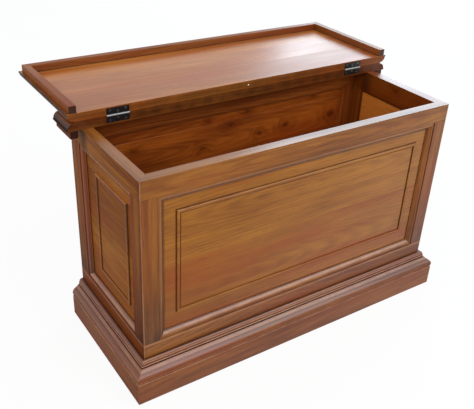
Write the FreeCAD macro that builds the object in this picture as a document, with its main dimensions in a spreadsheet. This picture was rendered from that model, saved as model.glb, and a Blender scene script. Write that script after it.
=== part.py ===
"""Storage chest: frame-and-panel walls on a moulded plinth, with a hinged lid stored open.

The frame is +Z up with the floor at z = 0, X across the front and +Y towards the back.
Sizes are in millimetres. Pieces are drawn from the front face of the walls backwards, and
every piece is then shifted along Y, so that the origin is below the middle of the open chest.
"""
import FreeCAD
import Part
import Sketcher
import math
import os
import re

SIZES = {
    # Walls
    "chest_width": 1000.0,
    "chest_depth": 404.0,
    "chest_height": 632.0,
    "wall_thickness": 30.0,
    "walls_above_floor": 25.0,
    # Frames of the walls
    "top_rail_flat": 50.0,
    "front_stile_flat": 45.0,
    "side_stile_flat": 48.0,
    "rear_stile_flat": 52.0,
    "opening_above_floor": 158.0,
    "moulding_width": 20.0,
    "moulding_step": 2.5,
    "moulding_toe": 3.0,
    "moulding_toe_depth": 9.5,
    "moulding_radius": 15.0,
    "bevel_width": 10.0,
    "bevel_edge": 2.0,
    "tenon_thickness": 10.0,
    "tenon_width": 18.0,
    "tenon_shoulder": 4.0,
    "tenon_length": 25.0,
    "mortise_clearance": 1.0,
    # Panels
    "panel_recess": 12.0,
    "panel_thickness": 10.0,
    "groove_depth": 9.0,
    "groove_clearance": 1.0,
    "front_panel_border": 35.0,
    "side_panel_front_border": 25.0,
    "side_panel_rear_border": 56.0,
    "border_top": 35.0,
    "border_bottom": 43.0,
    "bead_width": 9.0,
    "bead_height": 5.0,
    "bead_outer_radius": 4.5,
    "bead_inner_radius": 2.5,
    "quirk_width": 3.0,
    "field_rise": 2.0,
    "field_radius": 1.5,
    # Floor of the chest
    "floor_thickness": 12.0,
    "floor_above_ground": 66.0,
    "floor_clearance": 1.0,
    "cleat_width": 20.0,
    "cleat_height": 22.0,
    "block_width": 35.0,
    # Plinth
    "plinth_projection": 35.0,
    "plinth_board_height": 65.5,
    "torus_foot": 32.0,
    "torus_head": 24.5,
    "torus_height": 25.0,
    "torus_radius": 17.0,
    "slope_head": 15.0,
    "slope_height": 8.0,
    "lower_bead_foot": 12.0,
    "lower_bead_height": 6.0,
    "upper_bead_foot": 10.5,
    "upper_bead_height": 6.0,
    "bead_radius_share": 0.6,
    "cap_head": 4.0,
    "cap_height": 6.5,
    "cap_radius": 7.0,
    # Lid and fixed rear strip
    "hinge_line": 317.0,
    "strip_thickness": 24.0,
    "strip_overhang": 10.0,
    "lid_seat_gap": 0.5,
    "lid_rest_gap": 0.3,
    "lid_rear_gap": 1.0,
    "lid_side_clearance": 12.0,
    "rim_thickness": 21.0,
    "rim_height": 20.5,
    "nose_reach": 8.0,
    "nose_band": 4.0,
    "nose_step": 1.5,
    "nose_radius": 18.0,
    "nose_top_band": 2.0,
    # Hinges
    "hinge_length": 63.5,
    "knuckle_count": 5,
    "hinge_from_side": 99.0,
    "leaf_height": 19.5,
    "leaf_thickness": 1.5,
    "knuckle_radius": 3.0,
    "knuckle_gap": 0.3,
    "pin_radius": 1.25,
    "pin_clearance": 0.08,
    "notch_clearance": 0.5,
    "screw_head_radius": 3.0,
    "screw_head_depth": 1.4,
    "screw_radius": 1.5,
    "screw_length": 16.0,
    "screw_spacing": 22.0,
    "outer_screw_height": 14.0,
    "middle_screw_height": 9.0,
    # Stud in the edge of the lid
    "stud_from_middle": 4.0,
    "stud_height": 10.5,
    "stud_radius": 3.0,
    "stud_projection": 2.0,
    "stud_depth": 12.0,
    "stud_clearance": 0.6,
    # One overrun for every cut
    "overrun": 5.0,
}

PLACES = {
    "lid_reach": "hinge_line - lid_rear_gap + lid_side_clearance + rim_thickness",
    "lid_far_edge": "hinge_line + lid_reach + nose_reach",
    "front_face": "(plinth_projection - lid_far_edge) / 2",
    "half_width": "chest_width / 2",
    # Heights of the frames
    "top_opening": "chest_height - top_rail_flat",
    "top_inner": "top_opening - moulding_width",
    "bottom_inner": "opening_above_floor + moulding_width",
    "panel_entry": "groove_depth - groove_clearance",
    # Lid and strip, outwards from the middle
    "rim_inner": "half_width + lid_side_clearance",
    "rim_outer": "rim_inner + rim_thickness",
    "nose_widest": "rim_outer + nose_reach",
    "strip_top": "chest_height + strip_thickness",
    "strip_rear": "chest_depth + strip_overhang",
    "lid_thickness": "strip_thickness - lid_seat_gap",
    "lid_low": "strip_top + lid_rest_gap",
    "lid_high": "lid_low + lid_thickness",
    "lid_front": "hinge_line + lid_reach",
    # Hinge axis
    "axis_back": "hinge_line - lid_rear_gap / 2",
    "axis_height": "strip_top + lid_rest_gap / 2",
    "hinge_from_middle": "half_width - hinge_from_side",
    "hinge_near": "hinge_from_middle - hinge_length / 2",
    "hinge_far": "hinge_from_middle + hinge_length / 2",
    "knuckle_length": "hinge_length / knuckle_count",
    "stud_place": "axis_height + stud_height",
    "socket_place": "axis_height - stud_height",
    # Base moulding, upwards
    "slope_low": "plinth_board_height + torus_height",
    "lower_bead_low": "slope_low + slope_height",
    "upper_bead_low": "lower_bead_low + lower_bead_height",
    "cap_low": "upper_bead_low + upper_bead_height",
    "plinth_high": "cap_low + cap_height",
    # Room between the walls
    "half_inside": "half_width - wall_thickness",
    "inside_rear": "chest_depth - wall_thickness",
}

doc = FreeCAD.newDocument("StorageChest")


def qualified(text):
    """Prefix each name in an expression with the sheet that holds it."""
    def owner(match):
        name = match.group(0)
        if name in SIZES:
            return "Sizes." + name
        if name in PLACES:
            return "Places." + name
        return name
    return re.sub(r"[a-z_]+", owner, str(text))


def fill_sheet(name, cells):
    sheet = doc.addObject("Spreadsheet::Sheet", name)
    for row, (alias, content) in enumerate(cells.items(), start=1):
        sheet.set(f"A{row}", alias)
        sheet.set(f"B{row}", content)
        sheet.setAlias(f"B{row}", alias)
    return sheet


sizes = fill_sheet("Sizes", {alias: str(size) for alias, size in SIZES.items()})
places = fill_sheet("Places", {alias: "=" + qualified(rule) for alias, rule in PLACES.items()})
doc.recompute()


def value(text):
    """The number that an expression gives now."""
    return float(sizes.evalExpression(qualified(text)))


def bind(thing, path, text):
    thing.setExpression(path, qualified(text))


def place(thing, x=0, y="front_face", z=0):
    """Bind a piece's position. Unless told otherwise, it is only shifted with all the others."""
    for axis, text in zip("xyz", (x, y, z)):
        bind(thing, f".Placement.Base.{axis}", text)
    return thing


def in_wall(thing, wall):
    """Turn and move a piece from a wall's own frame into its place.

    In that frame X runs along the wall as seen from outside, and Y runs inwards from its face.
    """
    turns = {"front": 0, "left": -90, "back": 180}
    thing.Placement.Rotation = FreeCAD.Rotation(FreeCAD.Vector(0, 0, 1), turns[wall])
    spots = {
        "front": ("-half_width", "front_face"),
        "left": ("-half_width", "front_face + chest_depth"),
        "back": ("half_width", "front_face + chest_depth"),
    }
    return place(thing, *spots[wall])


def mirrored(source, label):
    """The right-hand twin of a left-hand piece."""
    twin = doc.addObject("Part::Mirroring", label)
    twin.Source = source
    twin.Normal = FreeCAD.Vector(1, 0, 0)
    return twin


def body(label):
    return doc.addObject("PartDesign::Body", label)


def sketch_on(piece, name, plane, offset=0):
    """A sketch on one of the body's own origin planes, moved along the plane's normal."""
    sketch = piece.newObject("Sketcher::SketchObject", f"{piece.Label}_{name}")
    origin = next(f for f in piece.Origin.OriginFeatures if f.Role == plane + "_Plane")
    sketch.AttachmentSupport = [(origin, "")]
    sketch.MapMode = "FlatFace"
    bind(sketch, ".AttachmentOffset.Base.z", offset)
    return sketch


def arc_between(start, end, radius, left):
    """The shorter arc from start to end, bulging to the left or the right of the way there."""
    chord = end - start
    height = math.sqrt(max(radius ** 2 - (chord.Length / 2) ** 2, 0.0))
    across = FreeCAD.Vector(-chord.y, chord.x, 0).normalize()
    centre = (start + end) / 2 + across * (-height if left else height)
    angles = [math.atan2(p.y - centre.y, p.x - centre.x) for p in (start, end)]
    if left:
        angles.reverse()
    circle = Part.Circle(centre, FreeCAD.Vector(0, 0, 1), radius)
    return Part.ArcOfCircle(circle, *angles)


def outline(sketch, corners):
    """Draw a closed outline whose corners are bound to expressions.

    A corner is (x, y), or (x, y, radius, side) where an arc starts, which bulges to that side.
    """
    points = [FreeCAD.Vector(value(c[0]), value(c[1]), 0) for c in corners]
    first = sketch.GeometryCount
    ends = []
    for i, corner in enumerate(corners):
        start, end = points[i], points[(i + 1) % len(points)]
        if len(corner) == 2:
            sketch.addGeometry(Part.LineSegment(start, end), False)
            ends.append((1, 2))
            continue
        left = corner[3] == "left"
        number = sketch.addGeometry(arc_between(start, end, value(corner[2]), left), False)
        ends.append((2, 1) if left else (1, 2))
        bound_constraint(sketch, ["Radius", number], corner[2])
    for i, corner in enumerate(corners):
        following = (i + 1) % len(corners)
        sketch.addConstraint(Sketcher.Constraint(
            "Coincident", first + i, ends[i][1], first + following, ends[following][0]))
        spot = [-1, 1, first + i, ends[i][0]]
        bound_constraint(sketch, ["DistanceX"] + spot, corner[0])
        bound_constraint(sketch, ["DistanceY"] + spot, corner[1])


def bound_constraint(sketch, words, text):
    number = sketch.addConstraint(Sketcher.Constraint(*words, value(text)))
    bind(sketch, f"Constraints[{number}]", text)


def rectangle(x_low, y_low, x_high, y_high):
    return [(x_low, y_low), (x_high, y_low), (x_high, y_high), (x_low, y_high)]


def pad(piece, sketch, length, backwards=False):
    feature = piece.newObject("PartDesign::Pad", sketch.Label + "_pad")
    feature.Profile = sketch
    feature.Reversed = backwards
    bind(feature, "Length", length)
    return feature


def pocket(piece, sketch, depth, backwards=False):
    """Cut along the sketch's normal reversed, or along it when backwards."""
    feature = piece.newObject("PartDesign::Pocket", sketch.Label + "_cut")
    feature.Profile = sketch
    feature.Reversed = backwards
    bind(feature, "Length", depth)
    return feature


def box(label, low, high):
    """A plain block between two corners, given as expressions."""
    block = doc.addObject("Part::Box", label)
    for side, start, end in zip(("Length", "Width", "Height"), low, high):
        bind(block, side, f"({end}) - ({start})")
    return place(block, low[0], f"front_face + {low[1]}", low[2])


def cylinder_along_x(label, x, y, z, radius, length):
    rod = doc.addObject("Part::Cylinder", label)
    rod.Placement.Rotation = FreeCAD.Rotation(FreeCAD.Vector(0, 1, 0), 90)
    bind(rod, "Radius", radius)
    bind(rod, "Height", length)
    return place(rod, x, f"front_face + {y}", z)


def cylinder_along_y(label, x, y, z, radius, length):
    """A rod that runs backwards from its place."""
    rod = doc.addObject("Part::Cylinder", label)
    rod.Placement.Rotation = FreeCAD.Rotation(FreeCAD.Vector(1, 0, 0), -90)
    bind(rod, "Radius", radius)
    bind(rod, "Height", length)
    return place(rod, x, f"front_face + {y}", z)


def fused(label, pieces):
    joined = doc.addObject("Part::MultiFuse", label)
    joined.Shapes = pieces
    return joined


def cut(label, base, tools):
    """The base less the tools, in the base's own place."""
    result = doc.addObject("Part::Cut", label)
    result.Base = base
    result.Tool = tools[0] if len(tools) == 1 else fused(label + "_tools", tools)
    return result


# Section of a frame member, across from its inner edge: h is the distance from that edge
def member_section(height, moulded, mitred):
    """Corners as (depth, h) pairs of expressions, from the outer face round to it again."""
    face = [
        ("0", height),
        ("0", "moulding_width"),
        ("moulding_step", "moulding_width", "moulding_radius", "right"),
        ("moulding_toe_depth", "moulding_toe"),
        ("moulding_toe_depth", "0"),
    ] if moulded else [("0", height), ("0", "0")]
    inner = [
        ("panel_recess", "0"),
        ("panel_recess", "groove_depth"),
        ("panel_recess + panel_thickness", "groove_depth"),
        ("panel_recess + panel_thickness", "0"),
        ("panel_recess + panel_thickness + bevel_edge", "0"),
        ("wall_thickness", "bevel_width"),
        ("wall_thickness", f"{height} - wall_thickness" if mitred else height),
    ]
    return face + inner


def other_side(side):
    return "left" if side == "right" else "right"


def rail(label, wall, length, near_flat, far_flat, top, moulded=True):
    """A rail across the whole wall. Its mouldings stop in mitres where the stiles begin."""
    inner = "top_inner" if top else "bottom_inner"
    flat = "top_opening" if top else "opening_above_floor"
    height = f"chest_height - {inner}" if top else f"{inner} - walls_above_floor"
    sign = "+" if top else "-"
    piece = body(label)
    section = sketch_on(piece, "section", "YZ")
    corners = []
    for depth, h, *arc in member_section(height, moulded, False):
        if arc:
            arc = [arc[0], arc[1] if top else other_side(arc[1])]
        corners.append((depth, f"{inner} {sign} ({h})", *arc))
    outline(section, corners)
    pad(piece, section, length)
    beyond = f"{inner} {'-' if top else '+'} overrun"
    ends = sketch_on(piece, "shoulders", "XZ")
    outline(ends, [
        ("-overrun", beyond), (f"{near_flat} + moulding_width", beyond),
        (f"{near_flat} + moulding_width", inner), (near_flat, flat), ("-overrun", flat)])
    far = f"{length} - {far_flat}"
    outline(ends, [
        (f"{length} + overrun", beyond), (f"{far} - moulding_width", beyond),
        (f"{far} - moulding_width", inner), (far, flat), (f"{length} + overrun", flat)])
    pocket(piece, ends, "wall_thickness + overrun")
    mitre_ends(piece, length)
    mortises = sketch_on(piece, "mortises", "XY", flat)
    depths = ("(wall_thickness - tenon_thickness) / 2", "(wall_thickness + tenon_thickness) / 2")
    start = f"{near_flat} - tenon_shoulder - tenon_width"
    outline(mortises, rectangle(start, depths[0], f"{near_flat} - tenon_shoulder", depths[1]))
    outline(mortises, rectangle(f"{far} + tenon_shoulder", depths[0],
                                f"{far} + tenon_shoulder + tenon_width", depths[1]))
    pocket(piece, mortises, "tenon_length + mortise_clearance", backwards=top)
    return in_wall(piece, wall)


def mitre_ends(piece, length):
    """Cut both ends at 45 degrees, so that the walls meet in a mitre at the corners."""
    ends = sketch_on(piece, "mitres", "XY", "-overrun")
    outline(ends, [("-overrun", "-overrun"), ("wall_thickness + overrun", "wall_thickness + overrun"),
                   ("-overrun", "wall_thickness + overrun")])
    outline(ends, [(f"{length} + overrun", "-overrun"),
                   (f"{length} + overrun", "wall_thickness + overrun"),
                   (f"{length} - wall_thickness - overrun", "wall_thickness + overrun")])
    pocket(piece, ends, "chest_height + 2 * overrun", backwards=True)


def stile(label, wall, length, flat_width, far=False, moulded=True):
    """A stile between the rails, with a tenon into each, at the near or the far end of a wall."""
    width = f"({flat_width} + moulding_width)"

    def along(h):
        return f"{length} - {width} + ({h})" if far else f"{width} - ({h})"

    piece = body(label)
    section = sketch_on(piece, "section", "XY", "opening_above_floor")
    corners = []
    for depth, h, *arc in member_section(width, moulded, True):
        if arc:
            arc = [arc[0], arc[1] if not far else other_side(arc[1])]
        corners.append((along(h), depth, *arc))
    outline(section, corners)
    pad(piece, section, "top_opening - opening_above_floor")
    mitres = sketch_on(piece, "shoulders", "XZ")
    for flat, inner, beyond in (("opening_above_floor", "bottom_inner", "opening_above_floor - overrun"),
                                ("top_opening", "top_inner", "top_opening + overrun")):
        outline(mitres, [(along("moulding_width"), flat), (along("0"), inner),
                         (along("-overrun"), inner), (along("-overrun"), beyond),
                         (along("moulding_width"), beyond)])
    pocket(piece, mitres, "wall_thickness + overrun")
    tenons = sketch_on(piece, "tenons", "XY", "opening_above_floor - tenon_length")
    outline(tenons, rectangle(
        along("moulding_width + tenon_shoulder"), "(wall_thickness - tenon_thickness) / 2",
        along("moulding_width + tenon_shoulder + tenon_width"),
        "(wall_thickness + tenon_thickness) / 2"))
    pad(piece, tenons, "top_opening - opening_above_floor + 2 * tenon_length")
    return in_wall(piece, wall)


def rounded(piece, base, label, radius, chosen):
    """Round the edges of the last feature whose ends all lie where the test says."""
    doc.recompute()
    names = [f"Edge{i}" for i, edge in enumerate(base.Shape.Edges, start=1)
             if all(chosen(vertex.Point) for vertex in edge.Vertexes)]
    feature = piece.newObject("PartDesign::Fillet", f"{piece.Label}_{label}")
    feature.Base = (base, names)
    bind(feature, "Radius", radius)
    return feature


def panel(label, wall, length, near_flat, far_flat, borders=None):
    """A panel in the grooves of its frame.

    With borders, from its near and far ends, it has a bead and a raised field on its outer face.
    """
    low_x, high_x = f"{near_flat} + moulding_width", f"{length} - {far_flat} - moulding_width"
    piece = body(label)
    sheet = sketch_on(piece, "outline", "XZ", "-panel_recess")
    outline(sheet, rectangle(f"{low_x} - panel_entry", "bottom_inner - panel_entry",
                             f"{high_x} + panel_entry", "top_inner + panel_entry"))
    pad(piece, sheet, "panel_thickness", backwards=True)
    if not borders:
        return in_wall(piece, wall)
    near_border, far_border = borders

    def framed(inset):
        return (f"{low_x} + {near_border} + ({inset})", f"bottom_inner + border_bottom + ({inset})",
                f"{high_x} - {far_border} - ({inset})", f"top_inner - border_top - ({inset})")

    def on_front(corners, height):
        """A test for the corners of a raised rectangle's front."""
        left, low, right, high = (value(c) for c in corners)
        front = value(f"panel_recess - {height}")
        spots = [FreeCAD.Vector(x, front, z) for x in (left, right) for z in (low, high)]
        return lambda point: any(point.isEqual(spot, 1e-4) for spot in spots)

    ring = sketch_on(piece, "bead", "XZ", "-panel_recess")
    outline(ring, rectangle(*framed("0")))
    outline(ring, rectangle(*framed("bead_width")))
    bead = pad(piece, ring, "bead_height")
    bead = rounded(piece, bead, "bead_outside", "bead_outer_radius",
                   on_front(framed("0"), "bead_height"))
    rounded(piece, bead, "bead_inside", "bead_inner_radius",
            on_front(framed("bead_width"), "bead_height"))
    middle = sketch_on(piece, "field", "XZ", "-panel_recess")
    outline(middle, rectangle(*framed("bead_width + quirk_width")))
    field = pad(piece, middle, "field_rise")
    rounded(piece, field, "field_edge", "field_radius",
            on_front(framed("bead_width + quirk_width"), "field_rise"))
    return in_wall(piece, wall)


# Front wall
front = ("chest_width", "front_stile_flat", "front_stile_flat")
front_top_rail = rail("front_top_rail", "front", *front, top=True)
front_bottom_rail = rail("front_bottom_rail", "front", *front, top=False)
front_left_stile = stile("front_left_stile", "front", "chest_width", "front_stile_flat")
front_right_stile = mirrored(front_left_stile, "front_right_stile")
front_panel = panel("front_panel", "front", *front,
                    borders=("front_panel_border", "front_panel_border"))

# Side walls: the left one is drawn, and the right one is its mirror image
side = ("chest_depth", "rear_stile_flat", "side_stile_flat")
left_side = {
    "top_rail": rail("left_top_rail", "left", *side, top=True),
    "bottom_rail": rail("left_bottom_rail", "left", *side, top=False),
    "rear_stile": stile("left_rear_stile", "left", "chest_depth", "rear_stile_flat"),
    "front_stile": stile("left_front_stile", "left", "chest_depth", "side_stile_flat", far=True),
    "panel": panel("left_panel", "left", *side,
                   borders=("side_panel_rear_border", "side_panel_front_border")),
}
right_side = {name: mirrored(piece, "right_" + name) for name, piece in left_side.items()}

# Back wall: plain outside
back = ("chest_width", "rear_stile_flat", "rear_stile_flat")
back_top_rail = rail("back_top_rail", "back", *back, top=True, moulded=False)
back_bottom_rail = rail("back_bottom_rail", "back", *back, top=False, moulded=False)
back_right_stile = stile("back_right_stile", "back", "chest_width", "rear_stile_flat",
                         moulded=False)
back_left_stile = mirrored(back_right_stile, "back_left_stile")
back_panel = panel("back_panel", "back", *back)

# Floor of the chest, on cleats along the walls and on a glue block in each corner
floor_panel = box(
    "floor_panel",
    ("-half_inside + floor_clearance", "wall_thickness + floor_clearance", "floor_above_ground"),
    ("half_inside - floor_clearance", "inside_rear - floor_clearance",
     "floor_above_ground + floor_thickness"))


def cleat(label, low_x, low_y, high_x, high_y):
    return box(label, (low_x, low_y, "floor_above_ground - cleat_height"),
               (high_x, high_y, "floor_above_ground"))


front_cleat = cleat("front_floor_cleat", "-half_inside + block_width", "wall_thickness",
                    "half_inside - block_width", "wall_thickness + cleat_width")
back_cleat = cleat("back_floor_cleat", "-half_inside + block_width", "inside_rear - cleat_width",
                   "half_inside - block_width", "inside_rear")
left_cleat = cleat("left_floor_cleat", "-half_inside", "wall_thickness + block_width",
                   "-half_inside + cleat_width", "inside_rear - block_width")
right_cleat = mirrored(left_cleat, "right_floor_cleat")

front_block = box("left_front_block", ("-half_inside", "wall_thickness", "0"),
                  ("-half_inside + block_width", "wall_thickness + block_width",
                   "floor_above_ground"))
back_block = box("left_back_block", ("-half_inside", "inside_rear - block_width", "0"),
                 ("-half_inside + block_width", "inside_rear", "floor_above_ground"))
corner_blocks = doc.addObject("Part::Compound", "corner_blocks")
corner_blocks.Links = [front_block, back_block, mirrored(front_block, "right_front_block"),
                       mirrored(back_block, "right_back_block")]


# Plinth: boards round the front and both sides, with a base moulding on top of them, and a plain
# rail under the back wall
def plinth_board(label, corners):
    piece = body(label)
    plan = sketch_on(piece, "plan", "XY")
    outline(plan, corners)
    pad(piece, plan, "plinth_board_height")
    return place(piece)


plinth_front_board = plinth_board("plinth_front_board", [
    ("-half_width - plinth_projection", "-plinth_projection"),
    ("half_width + plinth_projection", "-plinth_projection"),
    ("half_width", "0"), ("-half_width", "0")])
plinth_left_board = plinth_board("plinth_left_board", [
    ("-half_width - plinth_projection", "-plinth_projection"), ("-half_width", "0"),
    ("-half_width", "chest_depth"), ("-half_width - plinth_projection", "chest_depth")])
plinth_right_board = mirrored(plinth_left_board, "plinth_right_board")
plinth_back_rail = box("plinth_back_rail", ("-half_width", "inside_rear", "0"),
                       ("half_width", "chest_depth", "walls_above_floor"))


def base_moulding_section(wall_face):
    """Corners of the base moulding's section: a torus, a slope, two beads and a rounded cap.

    They run out towards the negative side of the wall's face, which is an expression.
    """
    spots = [
        ("0", "plinth_board_height"),
        ("torus_foot", "plinth_board_height", "torus_radius", "left"),
        ("torus_head", "slope_low"),
        ("slope_head", "lower_bead_low"),
        ("lower_bead_foot", "lower_bead_low", "lower_bead_height * bead_radius_share", "left"),
        ("lower_bead_foot", "upper_bead_low"),
        ("upper_bead_foot", "upper_bead_low", "upper_bead_height * bead_radius_share", "left"),
        ("upper_bead_foot", "cap_low", "cap_radius", "left"),
        ("cap_head", "plinth_high"),
        ("0", "plinth_high"),
    ]
    return [(f"{wall_face} - ({out})", *rest) for out, *rest in spots]


def base_moulding(label, plane, start, wall_face, length, waste):
    """A length of base moulding from the sketch plane's offset, less the waste at its mitres."""
    piece = body(label)
    section = sketch_on(piece, "section", plane, start)
    outline(section, base_moulding_section(wall_face))
    pad(piece, section, length)
    mitres = sketch_on(piece, "mitres", "XY", "plinth_board_height - overrun")
    for corners in waste:
        outline(mitres, corners)
    pocket(piece, mitres, "plinth_high - plinth_board_height + 2 * overrun", backwards=True)
    return place(piece)


plinth_front_moulding = base_moulding(
    "plinth_front_moulding", "YZ", "-half_width - plinth_projection", "0",
    "chest_width + 2 * plinth_projection",
    [[(f"{sign}(half_width)", "0"),
      (f"{sign}(half_width + plinth_projection)", "-plinth_projection"),
      (f"{sign}(half_width + plinth_projection + overrun)", "-plinth_projection"),
      (f"{sign}(half_width + plinth_projection + overrun)", "overrun"),
      (f"{sign}(half_width)", "overrun")] for sign in ("-", "")])
plinth_left_moulding = base_moulding(
    "plinth_left_moulding", "XZ", "-chest_depth", "-half_width",
    "chest_depth + plinth_projection",
    [[("-half_width", "0"),
      ("-half_width + overrun", "0"),
      ("-half_width + overrun", "-plinth_projection - overrun"),
      ("-half_width - plinth_projection - overrun", "-plinth_projection - overrun")]])
plinth_right_moulding = mirrored(plinth_left_moulding, "plinth_right_moulding")


# Lid and fixed rear strip: the nose moulding is measured outwards from the rim's outer face
def nose_section(outwards, upwards, thickness, turn):
    """Corners of the moulded edge, from the underside round to the top face."""
    spots = [
        ("nose_reach", "0"),
        ("nose_reach", "nose_band"),
        ("nose_reach - nose_step", "nose_band", "nose_radius", turn),
        ("nose_reach - nose_step - nose_radius", f"{thickness} - nose_top_band"),
        ("nose_reach - nose_step - nose_radius", thickness),
    ]
    return [(outwards.format(out), upwards.format(up), *arc) for out, up, *arc in spots]


def moulded_board(label, thickness, upwards, turns, rear):
    """A board along Y from the hinge line, with the nose moulding on its right and left ends."""
    piece = body(label)
    section = sketch_on(piece, "section", "XZ", "-hinge_line")
    right = nose_section("rim_outer + ({})", upwards, thickness, turns[0])
    left = nose_section("-rim_outer - ({})", upwards, thickness, turns[1])
    outline(section, right + reversed_corners(left))
    pad(piece, section, f"{rear} - hinge_line", backwards=True)
    return piece


def reversed_corners(corners):
    """The same open outline the other way round, with each arc moved to its new first corner."""
    plain = [corner[:2] for corner in corners]
    arcs = {i: corner[2:] for i, corner in enumerate(corners) if len(corner) > 2}
    result = []
    for i in range(len(corners) - 1, -1, -1):
        if i - 1 in arcs:
            radius, turn = arcs[i - 1]
            result.append((*plain[i], radius, other_side(turn)))
        else:
            result.append(plain[i])
    return result


rear_strip_board = moulded_board("rear_strip_board", "strip_thickness", "chest_height + {}",
                                 ("right", "left"), "strip_rear")
place(rear_strip_board)
lid_plank = moulded_board("lid_plank", "lid_thickness", "lid_high - ({})",
                          ("left", "right"), "lid_front + nose_reach")
front_nose = sketch_on(lid_plank, "front_nose", "YZ", "-nose_widest - overrun")
nose = nose_section("lid_front + ({})", "lid_high - ({})", "lid_thickness", "left")
outline(front_nose, nose + [
    ("lid_front - nose_radius", "lid_low - overrun"),
    ("lid_front + nose_reach + overrun", "lid_low - overrun"),
    ("lid_front + nose_reach + overrun", "lid_high")])
pocket(lid_plank, front_nose, "2 * (nose_widest + overrun)", backwards=True)
place(lid_plank)


def strip_lip(label):
    """The rim's short end below the strip, which hangs outside the wall."""
    return box(label, ("-rim_outer", "hinge_line", "chest_height - rim_height"),
               ("-rim_inner", "strip_rear", "chest_height"))


left_strip_lip = strip_lip("left_strip_lip")
right_strip_lip = mirrored(left_strip_lip, "right_strip_lip")


def rim(label, corners):
    piece = body(label)
    plan = sketch_on(piece, "plan", "XY", "lid_high")
    outline(plan, corners)
    pad(piece, plan, "rim_height")
    return place(piece)


lid_front_rim = rim("lid_front_rim", [
    ("-rim_outer", "lid_front"), ("rim_outer", "lid_front"),
    ("rim_inner", "lid_front - rim_thickness"), ("-rim_inner", "lid_front - rim_thickness")])
lid_left_rim = rim("lid_left_rim", [
    ("-rim_outer", "hinge_line"), ("-rim_inner", "hinge_line"),
    ("-rim_inner", "lid_front - rim_thickness"), ("-rim_outer", "lid_front")])
lid_right_rim = mirrored(lid_left_rim, "lid_right_rim")


# Hinges: the left one is drawn, and the right one is its mirror image
def hinge_cylinder(label, near, radius, length):
    """A cylinder on the hinge axis. Near is its end towards the middle of the chest."""
    return cylinder_along_x(label, f"-({near}) - ({length})", "axis_back", "axis_height",
                            radius, length)


def screw(label, x, z):
    """A countersunk screw into a board's edge."""
    head = doc.addObject("Part::Cone", label + "_head")
    head.Placement.Rotation = FreeCAD.Rotation(FreeCAD.Vector(1, 0, 0), -90)
    bind(head, "Radius1", "screw_head_radius")
    bind(head, "Radius2", "screw_radius")
    bind(head, "Height", "screw_head_depth")
    place(head, x, "front_face + hinge_line", z)
    shank = cylinder_along_y(label + "_shank", x, "hinge_line", z, "screw_radius", "screw_length")
    return fused(label, [head, shank])


def screws_of_leaf(label, upwards):
    """The left hinge's three screws in one board, the middle one nearer to the pin."""
    sign = "+" if upwards else "-"
    spots = [
        ("-hinge_from_middle - screw_spacing", f"axis_height {sign} outer_screw_height"),
        ("-hinge_from_middle", f"axis_height {sign} middle_screw_height"),
        ("-hinge_from_middle + screw_spacing", f"axis_height {sign} outer_screw_height"),
    ]
    return [screw(f"{label}_{i}", x, z) for i, (x, z) in enumerate(spots, start=1)]


def leaf(label, upwards, screws):
    """A leaf let into a board's edge, with its share of the knuckles round the pin.

    The pin is tight in the strip's leaf and turns in the lid's.
    """
    plate_low, plate_high = ("axis_height", "axis_height + leaf_height")
    if not upwards:
        plate_low, plate_high = ("axis_height - leaf_height", "axis_height")
    plate = box(label + "_plate", ("-hinge_far", "hinge_line", plate_low),
                ("-hinge_near", "hinge_line + leaf_thickness", plate_high))
    own, others = [], []
    for i in range(SIZES["knuckle_count"]):
        start = f"hinge_near + {i} * knuckle_length"
        name = f"{label}_knuckle_{i + 1}"
        if (i % 2 == 1) == upwards:
            own.append(hinge_cylinder(name, start + " + knuckle_gap / 2", "knuckle_radius",
                                      "knuckle_length - knuckle_gap"))
        else:
            others.append(hinge_cylinder(name, start + " - knuckle_gap / 2",
                                         "knuckle_radius + notch_clearance / 2",
                                         "knuckle_length + knuckle_gap"))
    bore_radius = "pin_radius + pin_clearance" if upwards else "pin_radius"
    bore = hinge_cylinder(label + "_bore", "hinge_near - overrun", bore_radius,
                          "hinge_length + 2 * overrun")
    cleared = cut(label + "_cleared", plate, others)
    blank = fused(label + "_blank", [cleared] + own)
    return cut(label, blank, [bore] + screws)


def both_hinges(label, screws):
    """One board's screws for both hinges, as one node."""
    group = doc.addObject("Part::Compound", label)
    group.Links = screws + [mirrored(item, f"{item.Label}_right") for item in screws]
    return group


strip_screws = screws_of_leaf("strip_screw", upwards=False)
lid_screws = screws_of_leaf("lid_screw", upwards=True)
strip_hinge_screws = both_hinges("strip_hinge_screws", strip_screws)
lid_hinge_screws = both_hinges("lid_hinge_screws", lid_screws)
left_strip_leaf = leaf("left_strip_leaf", False, strip_screws)
right_strip_leaf = mirrored(left_strip_leaf, "right_strip_leaf")
left_lid_leaf = leaf("left_lid_leaf", True, lid_screws)
right_lid_leaf = mirrored(left_lid_leaf, "right_lid_leaf")
left_hinge_pin = hinge_cylinder("left_hinge_pin", "hinge_near", "pin_radius", "hinge_length")
right_hinge_pin = mirrored(left_hinge_pin, "right_hinge_pin")

# Stud in the lid's edge, which enters a socket in the strip's edge when the lid is closed
lid_stud = cylinder_along_y("lid_stud", "stud_from_middle", "hinge_line - stud_projection",
                            "stud_place", "stud_radius", "stud_projection + stud_depth")


def hinge_room(label, upwards, screws):
    """The left hinge's leaf, knuckles and screws as one tool for the board that carries them."""
    low, high = ("axis_height - overrun", "axis_height + leaf_height + notch_clearance")
    if not upwards:
        low, high = ("axis_height - leaf_height - notch_clearance", "axis_height + overrun")
    mortise = box(label + "_mortise",
                  ("-hinge_far - notch_clearance", "hinge_line - overrun", low),
                  ("-hinge_near + notch_clearance", "hinge_line + leaf_thickness", high))
    notch = hinge_cylinder(label + "_notch", "hinge_near - notch_clearance",
                           "knuckle_radius + notch_clearance",
                           "hinge_length + 2 * notch_clearance")
    return fused(label, [mortise, notch] + screws)


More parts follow.
